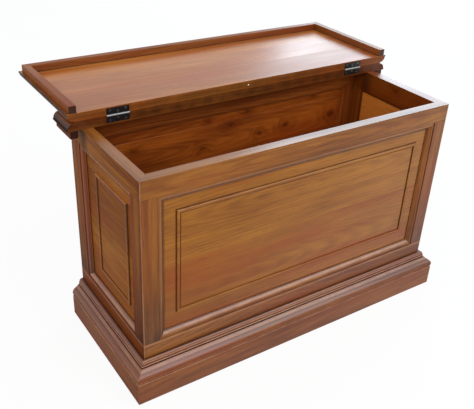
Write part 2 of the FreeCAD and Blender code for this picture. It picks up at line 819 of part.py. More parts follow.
strip_room = hinge_room("strip_hinge_room", False, strip_screws)
socket = cylinder_along_y("stud_socket", "stud_from_middle", "hinge_line - overrun",
                          "socket_place", "stud_radius + stud_clearance",
                          "overrun + stud_projection + stud_clearance")
rear_strip = cut("rear_strip", rear_strip_board,
                 [strip_room, mirrored(strip_room, "right_strip_hinge_room"), socket])

lid_room = hinge_room("lid_hinge_room", True, lid_screws)
stud_hole = cylinder_along_y("stud_hole", "stud_from_middle", "hinge_line - overrun",
                             "stud_place", "stud_radius", "overrun + stud_depth")
lid_board = cut("lid_board", lid_plank,
                [lid_room, mirrored(lid_room, "right_lid_hinge_room"), stud_hole])

NODES = [
    front_top_rail, front_bottom_rail, front_left_stile, front_right_stile, front_panel,
    *left_side.values(), *right_side.values(),
    back_top_rail, back_bottom_rail, back_left_stile, back_right_stile, back_panel,
    floor_panel, front_cleat, back_cleat, left_cleat, right_cleat, corner_blocks,
    plinth_front_board, plinth_left_board, plinth_right_board, plinth_back_rail,
    plinth_front_moulding, plinth_left_moulding, plinth_right_moulding,
    rear_strip, left_strip_lip, right_strip_lip,
    left_strip_leaf, right_strip_leaf, left_lid_leaf, right_lid_leaf,
    left_hinge_pin, right_hinge_pin, strip_hinge_screws, lid_hinge_screws, lid_stud,
    lid_board, lid_front_rim, lid_left_rim, lid_right_rim,
]

doc.recompute()
faults = [thing.Name for thing in doc.Objects if {"Invalid", "Error"} & set(thing.State)]
faults += [node.Label for node in NODES if node.Shape.isNull() or not node.Shape.isValid()]
if faults:
    raise RuntimeError("not built: " + ", ".join(faults))

os.makedirs("parts", exist_ok=True)
for node in NODES:
    node.Shape.exportStep(f"parts/{node.Label}.step")
print(len(NODES), "nodes written")
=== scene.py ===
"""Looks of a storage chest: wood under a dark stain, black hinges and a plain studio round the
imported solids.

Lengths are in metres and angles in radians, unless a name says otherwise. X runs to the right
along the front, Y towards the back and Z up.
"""
from __future__ import annotations

import logging
import math
from collections.abc import Callable, Iterable, Sequence
from dataclasses import dataclass, replace
from enum import Enum

import bmesh
import bpy
from mathutils import Matrix, Vector
from mathutils.bvhtree import BVHTree

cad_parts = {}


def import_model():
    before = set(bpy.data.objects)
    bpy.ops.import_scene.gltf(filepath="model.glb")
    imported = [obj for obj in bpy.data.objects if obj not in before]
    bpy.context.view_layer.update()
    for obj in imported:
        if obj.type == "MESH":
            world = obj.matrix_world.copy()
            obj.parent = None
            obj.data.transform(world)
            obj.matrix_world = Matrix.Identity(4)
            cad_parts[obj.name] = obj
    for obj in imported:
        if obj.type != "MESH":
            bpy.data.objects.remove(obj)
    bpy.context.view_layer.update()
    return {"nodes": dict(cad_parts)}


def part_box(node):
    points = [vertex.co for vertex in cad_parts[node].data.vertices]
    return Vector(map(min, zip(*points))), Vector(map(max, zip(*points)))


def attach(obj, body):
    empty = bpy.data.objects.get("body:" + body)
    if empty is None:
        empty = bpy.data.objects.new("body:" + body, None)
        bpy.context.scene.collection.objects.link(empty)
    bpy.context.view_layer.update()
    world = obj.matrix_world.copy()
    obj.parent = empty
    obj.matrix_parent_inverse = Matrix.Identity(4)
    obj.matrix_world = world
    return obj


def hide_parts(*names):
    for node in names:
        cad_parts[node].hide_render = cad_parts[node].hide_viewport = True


LOG = logging.getLogger("chest")
MM = 0.001
# Places nearer to each other than TOUCH count as one. MIDDLE is an X and Y inside the walls.
TOUCH = 0.01 * MM
MIDDLE = (0.0, -120 * MM)
Colour = tuple[float, float, float, float]
Point = tuple[float, float, float]


def stain(red: int, green: int, blue: int) -> Colour:
    """Turn a colour as a screen shows it into the linear one that shaders take.

    Args:
        red: Red, from 0 to 255.
        green: Green, from 0 to 255.
        blue: Blue, from 0 to 255.

    Returns:
        Linear red, green and blue, and an alpha of 1.
    """
    def linear(part: int) -> float:
        """One channel as a linear share."""
        share = part / 255
        return share / 12.92 if share <= 0.04045 else ((share + 0.055) / 1.055) ** 2.4

    return linear(red), linear(green), linear(blue), 1.0


class Grain(Enum):
    """The way a board's fibres run, as an axis of the chest's frame."""

    WIDTH = 0
    DEPTH = 1
    HEIGHT = 2

    @property
    def order(self) -> tuple[int, int, int]:
        """The three axes, with the one along the fibres first."""
        return {0: (0, 1, 2), 1: (1, 0, 2), 2: (2, 0, 1)}[self.value]


class Side(Enum):
    """A side of the chest, with the sign of its X."""

    LEFT = -1
    RIGHT = 1

    @property
    def word(self) -> str:
        """The side as node names say it."""
        return self.name.lower()


class ShaderSheet:
    """The nodes of one material, added and linked one by one.

    Attributes:
        fine_share: How strong each finer layer of noise is against the one before it.
        mix_inputs: Numbers of the Mix node's inputs for the share and the two colours.
        mix_output: Number of its output for the colour.
    """

    fine_share: float = 0.55
    mix_inputs: tuple[int, int, int] = (0, 6, 7)
    mix_output: int = 2

    def __init__(self, name: str) -> None:
        """Start an empty material.

        Args:
            name: Its name.
        """
        self.material = bpy.data.materials.new(name)
        self.material.use_nodes = True
        self.nodes = self.material.node_tree.nodes
        self.nodes.clear()

    def put(self, socket: bpy.types.NodeSocket, value: object) -> None:
        """Link a socket to another one, or set its own value.

        Args:
            socket: The socket.
            value: The other socket, or the value.
        """
        if isinstance(value, bpy.types.NodeSocket):
            self.material.node_tree.links.new(value, socket)
        else:
            socket.default_value = value

    def add(self, kind: str, inputs: dict | None = None, **settings: object) -> bpy.types.Node:
        """Add a node.

        Args:
            kind: The node's type, without its common start.
            inputs: Values or sockets for its inputs, by name or number.
            **settings: The node's own settings.

        Returns:
            The node.
        """
        node = self.nodes.new("ShaderNode" + kind)
        for name, setting in settings.items():
            setattr(node, name, setting)
        for name, value in (inputs or {}).items():
            self.put(node.inputs[name], value)
        return node

    def maths(self, operation: str, *values: object) -> bpy.types.NodeSocket:
        """The result of a Math node."""
        return self.add("Math", dict(enumerate(values)), operation=operation).outputs[0]

    def vector(self, operation: str, *values: object) -> bpy.types.NodeSocket:
        """The vector that a Vector Math node gives."""
        return self.add("VectorMath", dict(enumerate(values)), operation=operation).outputs[0]

    def length(self, vector: object) -> bpy.types.NodeSocket:
        """The length of a vector."""
        return self.add("VectorMath", {0: vector}, operation="LENGTH").outputs["Value"]

    def noise(self, place: object, periods: Point, detail: float = 2.0) -> bpy.types.NodeSocket:
        """Make noise.

        Args:
            place: The place where it is read.
            periods: Its periods per metre along each axis of the place.
            detail: Number of finer layers within it.

        Returns:
            Noise from 0 to 1.
        """
        stretched = self.vector("MULTIPLY", place, periods)
        inputs = {"Vector": stretched, "Scale": 1.0, "Detail": detail, "Roughness": self.fine_share}
        return self.add("TexNoise", inputs).outputs["Fac"]

    def spread(self, value: object, low: float, high: float, start: object = 0.0,
               end: float = 1.0) -> bpy.types.NodeSocket:
        """Map a value from low and high smoothly to start and end."""
        inputs = {"Value": value, "From Min": low, "From Max": high, "To Min": start, "To Max": end}
        return self.add("MapRange", inputs, interpolation_type="SMOOTHSTEP").outputs[0]

    def mix(self, share: object, first: object, second: object) -> bpy.types.NodeSocket:
        """Mix two colours.

        Args:
            share: Share of the second colour.
            first: The first colour.
            second: The second colour.

        Returns:
            The colour between them.
        """
        node = self.add("Mix", data_type="RGBA")
        for number, value in zip(self.mix_inputs, (share, first, second)):
            self.put(node.inputs[number], value)
        return node.outputs[self.mix_output]

    def largest(self, values: Iterable[object]) -> object:
        """Find the largest of several values.

        Args:
            values: The values, of which none is below 0.

        Returns:
            The largest one, or 0 where there is none.
        """
        result: object = 0.0
        for value in values:
            result = self.maths("MAXIMUM", result, value)
        return result

    def bump(self, height: object) -> bpy.types.NodeSocket:
        """The normal of a surface that a height in metres lifts."""
        return self.add("Bump", {"Strength": 1.0, "Distance": 1.0, "Height": height}).outputs[0]

    def finish(self, shader: bpy.types.NodeSocket) -> bpy.types.Material:
        """Join a shader to the output."""
        self.add("OutputMaterial", {"Surface": shader})
        return self.material


@dataclass(frozen=True)
class Line:
    """A straight hollow or edge across one axis.

    Attributes:
        axis: The axis.
        place: Where it lies on that axis.
        spread: How far it reaches to each side.
        facing: Axis that the faces that it shows on face along. None for all faces.
        share: How much it shows.
    """

    axis: int
    place: float
    spread: float = 2.5 * MM
    facing: int | None = None
    share: float = 1.0

    def mask(self, sheet: ShaderSheet, axes: Sequence[bpy.types.NodeSocket]) -> object:
        """Its share on the line, and 0 beyond its spread."""
        away = sheet.maths("ABSOLUTE", sheet.maths("SUBTRACT", axes[self.axis], self.place))
        return sheet.spread(away, 0.0, self.spread, self.share, 0.0)


@dataclass(frozen=True)
class Rectangle:
    """A hollow or edge that runs round a rectangle.

    Attributes:
        plane: The two axes of its plane.
        low: Its lower corner.
        high: Its higher corner.
        spread: How far it reaches to each side.
        facing: Axis that the faces that it shows on face along. None for all faces.
        shares: How much it shows on the low and the high side of the first axis, and then of
            the second.
    """

    plane: tuple[int, int]
    low: tuple[float, float]
    high: tuple[float, float]
    spread: float = 2.5 * MM
    facing: int | None = None
    shares: tuple[float, float, float, float] = (1.0, 1.0, 1.0, 1.0)

    def mask(self, sheet: ShaderSheet, axes: Sequence[bpy.types.NodeSocket]) -> object:
        """Mask the rectangle's outline.

        Args:
            sheet: The material's nodes.
            axes: The place on the piece, axis by axis.

        Returns:
            Its share on the outline, and 0 beyond its spread.
        """
        beyond, shares = [], []
        for number, (axis, low, high) in enumerate(zip(self.plane, self.low, self.high)):
            from_middle = sheet.maths("SUBTRACT", axes[axis], (low + high) / 2)
            beyond.append(sheet.maths("SUBTRACT", sheet.maths("ABSOLUTE", from_middle),
                                      (high - low) / 2))
            own = self.shares[2 * number:2 * number + 2]
            shares.append(sheet.spread(from_middle, -MM, MM, *own))
        away = sheet.maths("ABSOLUTE", sheet.maths("MAXIMUM", *beyond))
        first = sheet.maths("GREATER_THAN", *beyond)
        share = sheet.maths("MULTIPLY_ADD", first, sheet.maths("SUBTRACT", *shares), shares[1])
        return sheet.maths("MULTIPLY", share, sheet.spread(away, 0.0, self.spread, 1.0, 0.0))

    def inset(self, distance: float, spread: float, *shares: float) -> Rectangle:
        """A smaller rectangle within this one, with its own shares if they are given."""
        return replace(self, low=tuple(v + distance for v in self.low), spread=spread,
                       high=tuple(v - distance for v in self.high), shares=shares or self.shares)


@dataclass(frozen=True)
class Boards:
    """Boards glued edge to edge.

    Attributes:
        axis: Axis of the chest's frame across the boards.
        start: Where one of the joints lies on that axis.
        width: Width of a board.
        lean: How much darker and redder each board is than the one before it on the axis.
    """

    axis: int
    start: float
    width: float
    lean: float = 0.0

    def joints(self, low: float, high: float) -> list[float]:
        """Find the joints between two places.

        Args:
            low: The lower place on the axis.
            high: The higher one.

        Returns:
            Where the joints lie on the axis.
        """
        first = math.ceil((low - self.start) / self.width)
        last = math.floor((high - self.start) / self.width)
        return [self.start + i * self.width for i in range(first, last + 1)]


@dataclass(frozen=True)
class Knot:
    """A knot in a board.

    Attributes:
        spot: Its middle.
        radius: Radius of its dark core.
    """

    spot: Point
    radius: float = 8 * MM


@dataclass(frozen=True)
class Figure:
    """What sets one piece of wood apart from the others of its finish.

    Attributes:
        grain: The way its fibres run.
        boards: Its boards, where it is glued up.
        knots: Its knots.
        stained: Hollows and edges darkened by stain that has collected there and by painted shade.
        painted_highlights: Edges painted paler as painted highlights.
        lit_face: Face painted paler as painted light.
        tone: How dark it is within its finish, from -0.5 to 0.5.
        red: How red it is within its finish, from -0.5 to 0.5.
    """

    grain: Grain
    boards: Boards | None = None
    knots: tuple[Knot, ...] = ()
    stained: tuple[Line | Rectangle, ...] = ()
    painted_highlights: tuple[Line | Rectangle, ...] = ()
    lit_face: Line | None = None
    tone: float = 0.0
    red: float = 0.0


@dataclass(frozen=True)
class Layer:
    """One layer of a wood's grain, drawn out along the fibres.

    Attributes:
        along: Its periods per metre along the fibres.
        across: Its periods per metre across them.
        detail: Number of finer layers within it.
        relief: How far it lifts the surface.
    """

    along: float
    across: float
    detail: float = 2.0
    relief: float = 0.0

    def noise(self, sheet: ShaderSheet, fibres: object) -> bpy.types.NodeSocket:
        """Its noise from 0 to 1."""
        return sheet.noise(fibres, (self.along, self.across, self.across), self.detail)


GRAIN_LAYERS = {
    "streaks": Layer(2.2, 55.0, 3.0, 0.06 * MM),
    "strands": Layer(6.0, 170.0, relief=0.03 * MM),
    "pores": Layer(18.0, 420.0, relief=0.02 * MM),
    "patches": Layer(2.2, 8.0),
    "blush": Layer(1.7, 13.0),
}
# The layer by which the pith of the growth rings strays, and how far they lift the surface.
RING_DRIFT = Layer(1.6, 7.0)
RING_RELIEF = 0.01 * MM


@dataclass(frozen=True)
class Surface:
    """A point on a piece, as sockets of its material.

    Attributes:
        sheet: The material's nodes.
        place: The point.
        axes: Its place, axis by axis.
        normal: The direction that the surface faces there, axis by axis.
    """

    sheet: ShaderSheet
    place: bpy.types.NodeSocket
    axes: Sequence[bpy.types.NodeSocket]
    normal: Sequence[bpy.types.NodeSocket]

    @classmethod
    def of(cls, sheet: ShaderSheet) -> Surface:
        """Read the point in a material.

        Args:
            sheet: The material's nodes.

        Returns:
            The point.
        """
        coordinates = sheet.add("TexCoord").outputs
        axes = sheet.add("SeparateXYZ", {0: coordinates["Object"]}).outputs
        normal = sheet.add("SeparateXYZ", {0: coordinates["Normal"]}).outputs
        return cls(sheet, coordinates["Object"], axes, normal)

    def faces(self, axis: int, low: float, high: float, end: float = 1.0) -> bpy.types.NodeSocket:
        """How squarely the surface faces along an axis, either way, mapped from low and high."""
        turned = self.sheet.maths("ABSOLUTE", self.normal[axis])
        return self.sheet.spread(turned, low, high, 0.0, end)

    def shown(self, edges: Iterable[Line | Rectangle]) -> object:
        """Mask hollows or edges, each on the faces that it shows on.

        Args:
            edges: The hollows or edges.

        Returns:
            The largest of their masks.
        """
        masks = []
        for edge in edges:
            mask = edge.mask(self.sheet, self.axes)
            if edge.facing is not None:
                mask = self.sheet.maths("MULTIPLY", mask, self.faces(edge.facing, 0.8, 0.95))
            masks.append(mask)
        return self.sheet.largest(masks)


@dataclass(frozen=True)
class Wood:
    """Stained and varnished hardwood.

    Attributes:
        name: Name of the finish, which is also the record's slot.
        pale: Colour of the lightest wood.
        deep: Colour of the darkest broad streaks.
        flush: Colour of the redder patches.
        line: Colour of the pores, the knots, the stain in hollows and the painted shade.
        end: Colour of end grain, which takes more stain.
        rubbed: Colour of the painted highlights on edges and of the painted light on a lit face.
        ring_share: How much the growth rings show.
        streak_share: How much the long streaks show.
        patch_share: How much the broad patches show.
        board_share: How much one board differs from the next.
        line_share: How dark the pores are.
        flush_share: How red the redder patches are.
        end_share: How much end grain takes its own colour.
        darkened_shares: How dark the stain in hollows and the painted shade are where they are
            faintest and strongest.
        rubbed_shares: How pale the painted highlights are where they are faintest and strongest.
        roughness: Roughness of the varnish.
        rough_swing: How far the roughness strays from patch to patch, down and up.
        darkened_rough: How much rougher the varnish is where stain and painted shade darken it.
        gloss: Strength of the varnish's reflection on faces that lie flat or slope, where it
            has been polished most.
        upright_gloss: The same on upright faces seen askew. It is half of it where they are seen
            square on.
        grazing_gloss: The same on upright faces towards a grazing view.
        ring_spacing: Distance between growth rings.
        pith_distance: Distance between the piths that the rings run round.
        pith_drift: How far a pith strays.
        cloud: Periods per metre of the patchiness of the painted highlights, of the stain in hollows
            and of the painted shade.
        knot_rings: How much the growth rings show at a knot.
        knot_depth: How much darker the wood is at a knot.
        knot_core: How dark the core of a knot is.
        knot_pull: Number of rings by which a knot pulls the wood round it aside.
        knot_squeeze: How much shorter than long a knot is.
        knot_periods: Periods per metre of a knot's ragged edge.
    """

    name: str
    pale: Colour
    deep: Colour
    flush: Colour
    line: Colour
    end: Colour
    rubbed: Colour
    ring_share: float = 0.14
    streak_share: float = 0.50
    patch_share: float = 0.45
    board_share: float = 0.50
    line_share: float = 0.45
    flush_share: float = 0.75
    end_share: float = 0.85
    darkened_shares: tuple[float, float] = (0.62, 0.92)
    rubbed_shares: tuple[float, float] = (0.38, 0.68)
    roughness: float = 0.27
    rough_swing: tuple[float, float] = (-0.05, 0.07)
    darkened_rough: float = 0.12
    gloss: float = 0.50
    upright_gloss: float = 0.42
    grazing_gloss: float = 0.012
    ring_spacing: float = 8 * MM
    pith_distance: float = 75 * MM
    pith_drift: float = 45 * MM
    cloud: Point = (26.0, 26.0, 26.0)
    knot_rings: float = 0.2
    knot_depth: float = 0.35
    knot_core: float = 0.55
    knot_pull: float = 2.0
    knot_squeeze: float = 0.6
    knot_periods: Point = (70.0, 70.0, 70.0)

    def material(self, label: str, figure: Figure, seed: int) -> bpy.types.Material:
        """Make the material of one piece.

        Args:
            label: The piece's name.
            figure: What sets the piece apart.
            seed: Number that moves the pattern, so that no two pieces are alike.

        Returns:
            The material.
        """
        sheet = ShaderSheet(f"{self.name}_{label}")
        surface = Surface.of(sheet)
        knots = self.knots(surface, figure)
        grain = self.boards(surface, figure, seed)
        fibres = grain["fibres"]
        grain["rings"] = self.rings(sheet, fibres, seed, knots["pull"])
        for name, layer in GRAIN_LAYERS.items():
            grain[name] = layer.noise(sheet, fibres)
        depth = self.depth(sheet, figure, grain, knots["near"])
        bare = self.bare(surface, figure, grain, depth)
        colour, darkened = self.dressed(surface, figure, bare, knots["core"])
        shader = sheet.add("BsdfPrincipled", {
            "Base Color": colour, "Roughness": self.dullness(sheet, grain, darkened),
            "Specular IOR Level": self.shine(surface), "Normal": self.relief(sheet, grain)})
        return sheet.finish(shader.outputs[0])

    def boards(self, surface: Surface, figure: Figure, seed: int) -> dict[str, object]:
        """Turn a point so that its first axis runs along the fibres, and tell the boards apart.

        Args:
            surface: The point.
            figure: What sets the piece apart.
            seed: Number that moves the pattern.

        Returns:
            "fibres", the turned point, "tone", the tone of its board from 0 to 1, and "lean",
            how much darker and redder that board is than the first one.
        """
        sheet, boards = surface.sheet, figure.boards
        turned = {i: surface.axes[axis] for i, axis in enumerate(figure.grain.order)}
        shift = (seed * 1.37 % 5, seed * 0.83 % 3, seed * 0.59 % 2)
        fibres = sheet.vector("ADD", sheet.add("CombineXYZ", turned).outputs[0], shift)
        if boards is None:
            return {"fibres": fibres, "tone": 0.5, "lean": 0.0}
        steps = sheet.maths("SUBTRACT", surface.axes[boards.axis], boards.start)
        number = sheet.maths("FLOOR", sheet.maths("DIVIDE", steps, boards.width))
        chance = sheet.add("TexWhiteNoise", {"W": sheet.maths("ADD", number, seed * 7.1)},
                           noise_dimensions="1D").outputs
        return {"fibres": sheet.vector("ADD", fibres, chance["Color"]), "tone": chance["Value"],
                "lean": sheet.maths("MULTIPLY", number, boards.lean)}

    def depth(self, sheet: ShaderSheet, figure: Figure, grain: dict[str, object],
              near: object) -> bpy.types.NodeSocket:
        """Add up how dark the wood is.

        Args:
            sheet: The material's nodes.
            figure: What sets the piece apart.
            grain: The layers of its grain.
            near: 1 at a knot and 0 well away from it.

        Returns:
            The depth, from 0 for the lightest wood to 1 for the darkest.
        """
        ring_share = sheet.spread(near, 0.0, 1.0, self.ring_share, self.knot_rings)
        depth: object = sheet.maths("ADD", grain["lean"], 0.5 + figure.tone)
        depth = sheet.maths("MULTIPLY_ADD", near, self.knot_depth, depth)
        for part, share in (("rings", ring_share), ("streaks", 2 * self.streak_share),
                            ("strands", self.streak_share), ("patches", 2 * self.patch_share),
                            ("tone", self.board_share)):
            swing = sheet.maths("SUBTRACT", grain[part], 0.5)
            depth = sheet.maths("MULTIPLY_ADD", swing, share, depth)
        return sheet.spread(depth, 0.0, 1.0)

    def bare(self, surface: Surface, figure: Figure, grain: dict[str, object],
             depth: object) -> bpy.types.NodeSocket:
        """Colour the face of a board in its stain, away from its edges, with painted light on a lit
        face.

        Args:
            surface: The point.
            figure: What sets the piece apart.
            grain: The layers of its grain.
            depth: How dark the wood is.

        Returns:
            The colour.
        """
        sheet = surface.sheet
        red = sheet.maths("ADD", grain["blush"], sheet.maths("ADD", grain["lean"], figure.red))
        colour = sheet.mix(sheet.spread(red, 0.42, 0.75, 0.0, self.flush_share),
                           sheet.mix(depth, self.pale, self.deep), self.flush)
        # Painted light: a lit face is mixed towards paler colours.
        if figure.lit_face:
            lighter = sheet.mix(depth, self.rubbed, self.flush)
            colour = sheet.mix(surface.shown([figure.lit_face]), colour, lighter)
        pores = sheet.spread(grain["pores"], 0.54, 0.80, 0.0, self.line_share)
        return sheet.mix(pores, colour, self.line)

    def dressed(self, surface: Surface, figure: Figure, colour: object,
                core: object) -> tuple[object, object]:
        """Add the knots, the stain in hollows with the painted shade, the painted highlights and the
        end grain to a colour.

        Args:
            surface: The point.
            figure: What sets the piece apart.
            colour: The colour.
            core: How dark a knot is there.

        Returns:
            The new colour, and the share of darkening by stain and painted shade.
        """
        sheet = surface.sheet
        cloud = sheet.noise(surface.place, self.cloud)
        # Stain in the hollows and painted shade darken the colour, in patches.
        darkened = sheet.maths("MULTIPLY", surface.shown(figure.stained),
                               sheet.spread(cloud, 0.25, 0.65, *self.darkened_shares))
        colour = sheet.mix(sheet.largest((darkened, core)), colour, self.line)
        # Painted highlights make the listed edges paler, in patches.
        highlight_share = sheet.maths("MULTIPLY", surface.shown(figure.painted_highlights),
                          sheet.spread(cloud, 0.35, 0.60, *self.rubbed_shares))
        colour = sheet.mix(highlight_share, colour, self.rubbed)
        ends = surface.faces(figure.grain.value, 0.75, 0.95, self.end_share)
        return sheet.mix(ends, colour, self.end), darkened

    def dullness(self, sheet: ShaderSheet, grain: dict[str, object],
                 darkened: object) -> bpy.types.NodeSocket:
        """Set the varnish's roughness, which is more where stain and painted shade darken the wood.

        Args:
            sheet: The material's nodes.
            grain: The layers of its grain.
            darkened: The share of darkening by stain and painted shade.

        Returns:
            The roughness.
        """
        ends = (self.roughness + swing for swing in self.rough_swing)
        rough = sheet.spread(grain["patches"], 0.25, 0.75, *ends)
        return sheet.maths("MULTIPLY_ADD", darkened, self.darkened_rough, rough)

    def shine(self, surface: Surface) -> bpy.types.NodeSocket:
        """Set the strength of the varnish's reflection by how the surface lies and is seen.

        Args:
            surface: The point.

        Returns:
            The strength.
        """
        sheet = surface.sheet
        facing = sheet.add("LayerWeight", {"Blend": 0.5}).outputs["Facing"]
        askew = sheet.spread(facing, 0.26, 0.44, 0.5 * self.upright_gloss, self.upright_gloss)
        upright = sheet.spread(facing, 0.47, 0.62, askew, self.grazing_gloss)
        more = sheet.maths("SUBTRACT", self.gloss, upright)
        return sheet.maths("MULTIPLY_ADD", surface.faces(2, 0.10, 0.55), more, upright)

    def relief(self, sheet: ShaderSheet, grain: dict[str, object]) -> bpy.types.NodeSocket:
        """Lift the surface by its grain.

        Args:
            sheet: The material's nodes.
            grain: The layers of its grain.

        Returns:
            The normal.
        """
        height: object = sheet.maths("MULTIPLY", grain["rings"], RING_RELIEF)
        for name, layer in GRAIN_LAYERS.items():
            if layer.relief:
                height = sheet.maths("MULTIPLY_ADD", grain[name], layer.relief, height)
        return sheet.bump(height)

    def rings(self, sheet: ShaderSheet, fibres: object, seed: int,
              pull: object) -> bpy.types.NodeSocket:
        """Draw growth rings round a pith that lies beside the board and slightly askew to it.

        Args:
            sheet: The material's nodes.
            fibres: Places along and across the fibres.
            seed: Number that sets how far askew the pith runs.
            pull: Number of rings by which each place is pulled aside.

        Returns:
            Waves from 0 to 1 across the rings.
        """
        swing = sheet.maths("SUBTRACT", RING_DRIFT.noise(sheet, fibres), 0.5)
        parts = sheet.add("SeparateXYZ", {0: fibres}).outputs
        lean = sheet.maths("MULTIPLY", parts[0], 0.05 + 0.02 * (seed % 3))
        first = sheet.maths("PINGPONG", sheet.maths("ADD", parts[1], lean), self.pith_distance)
        second = sheet.maths("MULTIPLY_ADD", swing, self.pith_drift,
                             sheet.maths("PINGPONG", parts[2], self.pith_distance))
        out = sheet.length(sheet.add("CombineXYZ", {0: first, 1: second}).outputs[0])
        count = sheet.maths("ADD", sheet.maths("DIVIDE", out, self.ring_spacing), pull)
        wave = sheet.maths("SINE", sheet.maths("MULTIPLY", count, 2 * math.pi))
        return sheet.spread(wave, -1.0, 1.0)

    def knots(self, surface: Surface, figure: Figure) -> dict[str, object]:
        """Draw knots, each with a ragged core that is longer along the grain.

        Args:
            surface: The point.
            figure: What sets the piece apart.

        Returns:
            "pull", the number of rings by which the point is pulled aside, "near", 1 at a knot
            and 0 well away from it, and "core", the share of its dark colour.
        """
        sheet = surface.sheet
        squeeze = [1.0, 1.0, 1.0]
        squeeze[figure.grain.value] = self.knot_squeeze
        nears, cores = [], []
        ragged = sheet.noise(surface.place, self.knot_periods, 3.0) if figure.knots else 0.0
        for knot in figure.knots:
            away = sheet.vector("SUBTRACT", surface.place, knot.spot)
            far = sheet.maths("MULTIPLY_ADD", ragged, 1.4 * knot.radius,
                              sheet.length(sheet.vector("MULTIPLY", away, squeeze)))
            nears.append(sheet.spread(far, 0.5 * knot.radius, 5 * knot.radius, 1.0, 0.0))
            cores.append(sheet.spread(far, 0.7 * knot.radius, 2.0 * knot.radius,
                                      self.knot_core, 0.0))
        near = sheet.largest(nears)
        return {"near": near, "pull": sheet.maths("MULTIPLY", near, self.knot_pull),
                "core": sheet.largest(cores)}


@dataclass(frozen=True)
class Metal:
    """Bare or painted metal.

    Attributes:
        name: Name of the finish, which is also the record's slot.
        colour: Its colour.
        marked: Its colour where it is stained or scratched.
        metallic: 1 for bare metal and 0 for paint.
        roughness: Its roughness.
        bare: Colour of the metal where paint is scuffed off.
        marks: Periods per metre of its stains.
        scratches: Periods per metre of its scratches.
        relief: Depth of both.
        rub_edge: Width of the edge of scuffed paint.
    """

    name: str
    colour: Colour
    marked: Colour
    metallic: float
    roughness: float
    bare: Colour = stain(180, 178, 176)
    marks: Point = (320.0, 320.0, 320.0)
    scratches: Point = (90.0, 900.0, 900.0)
    relief: float = 0.02 * MM
    rub_edge: float = 0.4 * MM

    def material(self, label: str,
                 barrel: tuple[float, float, float] | None = None) -> bpy.types.Material:
        """Make the material of one piece.

        Args:
            label: The piece's name.
            barrel: Y and Z of a line along X, and a radius round it within which the paint is
                scuffed off.

        Returns:
            The material.
        """
        sheet = ShaderSheet(f"{self.name}_{label}")
        place = sheet.add("TexCoord").outputs["Object"]
        marks = sheet.noise(place, self.marks, 3.0)
        scratches = sheet.noise(place, self.scratches)
        share = sheet.spread(sheet.maths("MAXIMUM", marks, scratches), 0.5, 0.8, 0.0, 0.6)
        colour = sheet.mix(share, self.colour, self.marked)
        metallic: object = self.metallic
        if barrel:
            y, z, radius = barrel
            away = sheet.vector("SUBTRACT", place, (0.0, y, z))
            out = sheet.length(sheet.vector("MULTIPLY", away, (0.0, 1.0, 1.0)))
            rubbed = sheet.spread(out, radius, radius + self.rub_edge, 1.0, 0.0)
            metallic = sheet.maths("MULTIPLY", rubbed, sheet.spread(marks, 0.2, 0.5, 0.6, 1.0))
            colour = sheet.mix(metallic, colour, self.bare)
        rough = sheet.spread(marks, 0.3, 0.7, self.roughness - 0.05, self.roughness + 0.10)
        height = sheet.maths("MULTIPLY", sheet.maths("ADD", marks, scratches), self.relief)
        shader = sheet.add("BsdfPrincipled", {"Base Color": colour, "Metallic": metallic,
                                              "Roughness": rough, "Normal": sheet.bump(height)})
        return sheet.finish(shader.outputs[0])


UMBER = stain(48, 24, 14)
FRAME_WOOD = Wood("frame_wood", stain(153, 95, 32), stain(94, 43, 10), stain(122, 50, 10), UMBER,
                  stain(62, 38, 28), stain(180, 130, 98), line_share=0.55, gloss=0.68)
BACK_WOOD = replace(FRAME_WOOD, pale=stain(170, 94, 40), deep=stain(108, 48, 16),
                    flush=stain(136, 52, 14), gloss=0.45)
PANEL_WOOD = Wood("panel_wood", stain(160, 101, 26), stain(110, 57, 12), stain(132, 60, 10),
                  stain(62, 30, 10), stain(70, 42, 26), stain(214, 130, 54), streak_share=0.34,
                  line_share=0.60, gloss=0.40)
FRONT_PANEL_WOOD = replace(PANEL_WOOD, board_share=0.1)
INSIDE_WOOD = Wood("inside_wood", stain(176, 92, 28), stain(112, 48, 12), stain(150, 56, 12),
                   stain(34, 12, 4), stain(60, 32, 18), stain(150, 90, 46), ring_share=0.15,
                   patch_share=0.7, roughness=0.40, gloss=0.30)
PLINTH_WOOD = Wood("plinth_wood", stain(136, 76, 28), stain(88, 40, 10), stain(114, 44, 8), UMBER,
                   stain(58, 36, 26), stain(178, 130, 98), gloss=0.60, upright_gloss=0.33)
LID_WOOD = Wood("lid_wood", stain(184, 116, 50), stain(140, 76, 28), stain(154, 72, 22), UMBER,
                stain(36, 24, 24), stain(184, 126, 76), gloss=0.50, upright_gloss=0.28)
RIM_WOOD = replace(LID_WOOD, pale=stain(150, 88, 38), deep=stain(104, 52, 18),
                   flush=stain(118, 46, 14), gloss=0.10, upright_gloss=0.42)
STRIP_WOOD = replace(LID_WOOD, pale=stain(160, 92, 38), deep=stain(110, 54, 18),
                     flush=stain(126, 52, 16), line=stain(40, 16, 7), end=stain(36, 20, 16),
                     gloss=0.20)
HINGE_IRON = Metal("hinge_iron", stain(15, 15, 18), stain(38, 38, 40), 0.0, 0.30)
SCREW_IRON = Metal("hinge_iron", stain(128, 126, 122), stain(50, 48, 46), 1.0, 0.34)
PIN_STEEL = Metal("pin_steel", stain(206, 202, 196), stain(150, 142, 132), 1.0, 0.24)
STUD_STEEL = Metal("stud_steel", stain(228, 222, 212), stain(176, 166, 150), 1.0, 0.20)


def let_go() -> None:
    """Leave edit mode and deselect everything."""
    if bpy.context.object and bpy.context.object.mode != "OBJECT":
        bpy.ops.object.mode_set(mode="OBJECT")
    bpy.ops.object.select_all(action="DESELECT")


def take(*pieces: bpy.types.Object) -> None:
    """Select some objects alone and make the first one active.

    Args:
        *pieces: The objects.
    """
    let_go()
    for piece in pieces:
        piece.select_set(True)
    bpy.context.view_layer.objects.active = pieces[0]


def edit_all(piece: bpy.types.Object) -> None:
    """Enter edit mode with the whole mesh selected.

    Args:
        piece: The object.
    """
    take(piece)
    bpy.ops.object.mode_set(mode="EDIT")
    bpy.ops.mesh.select_mode(type="EDGE")
    bpy.ops.mesh.select_all(action="SELECT")


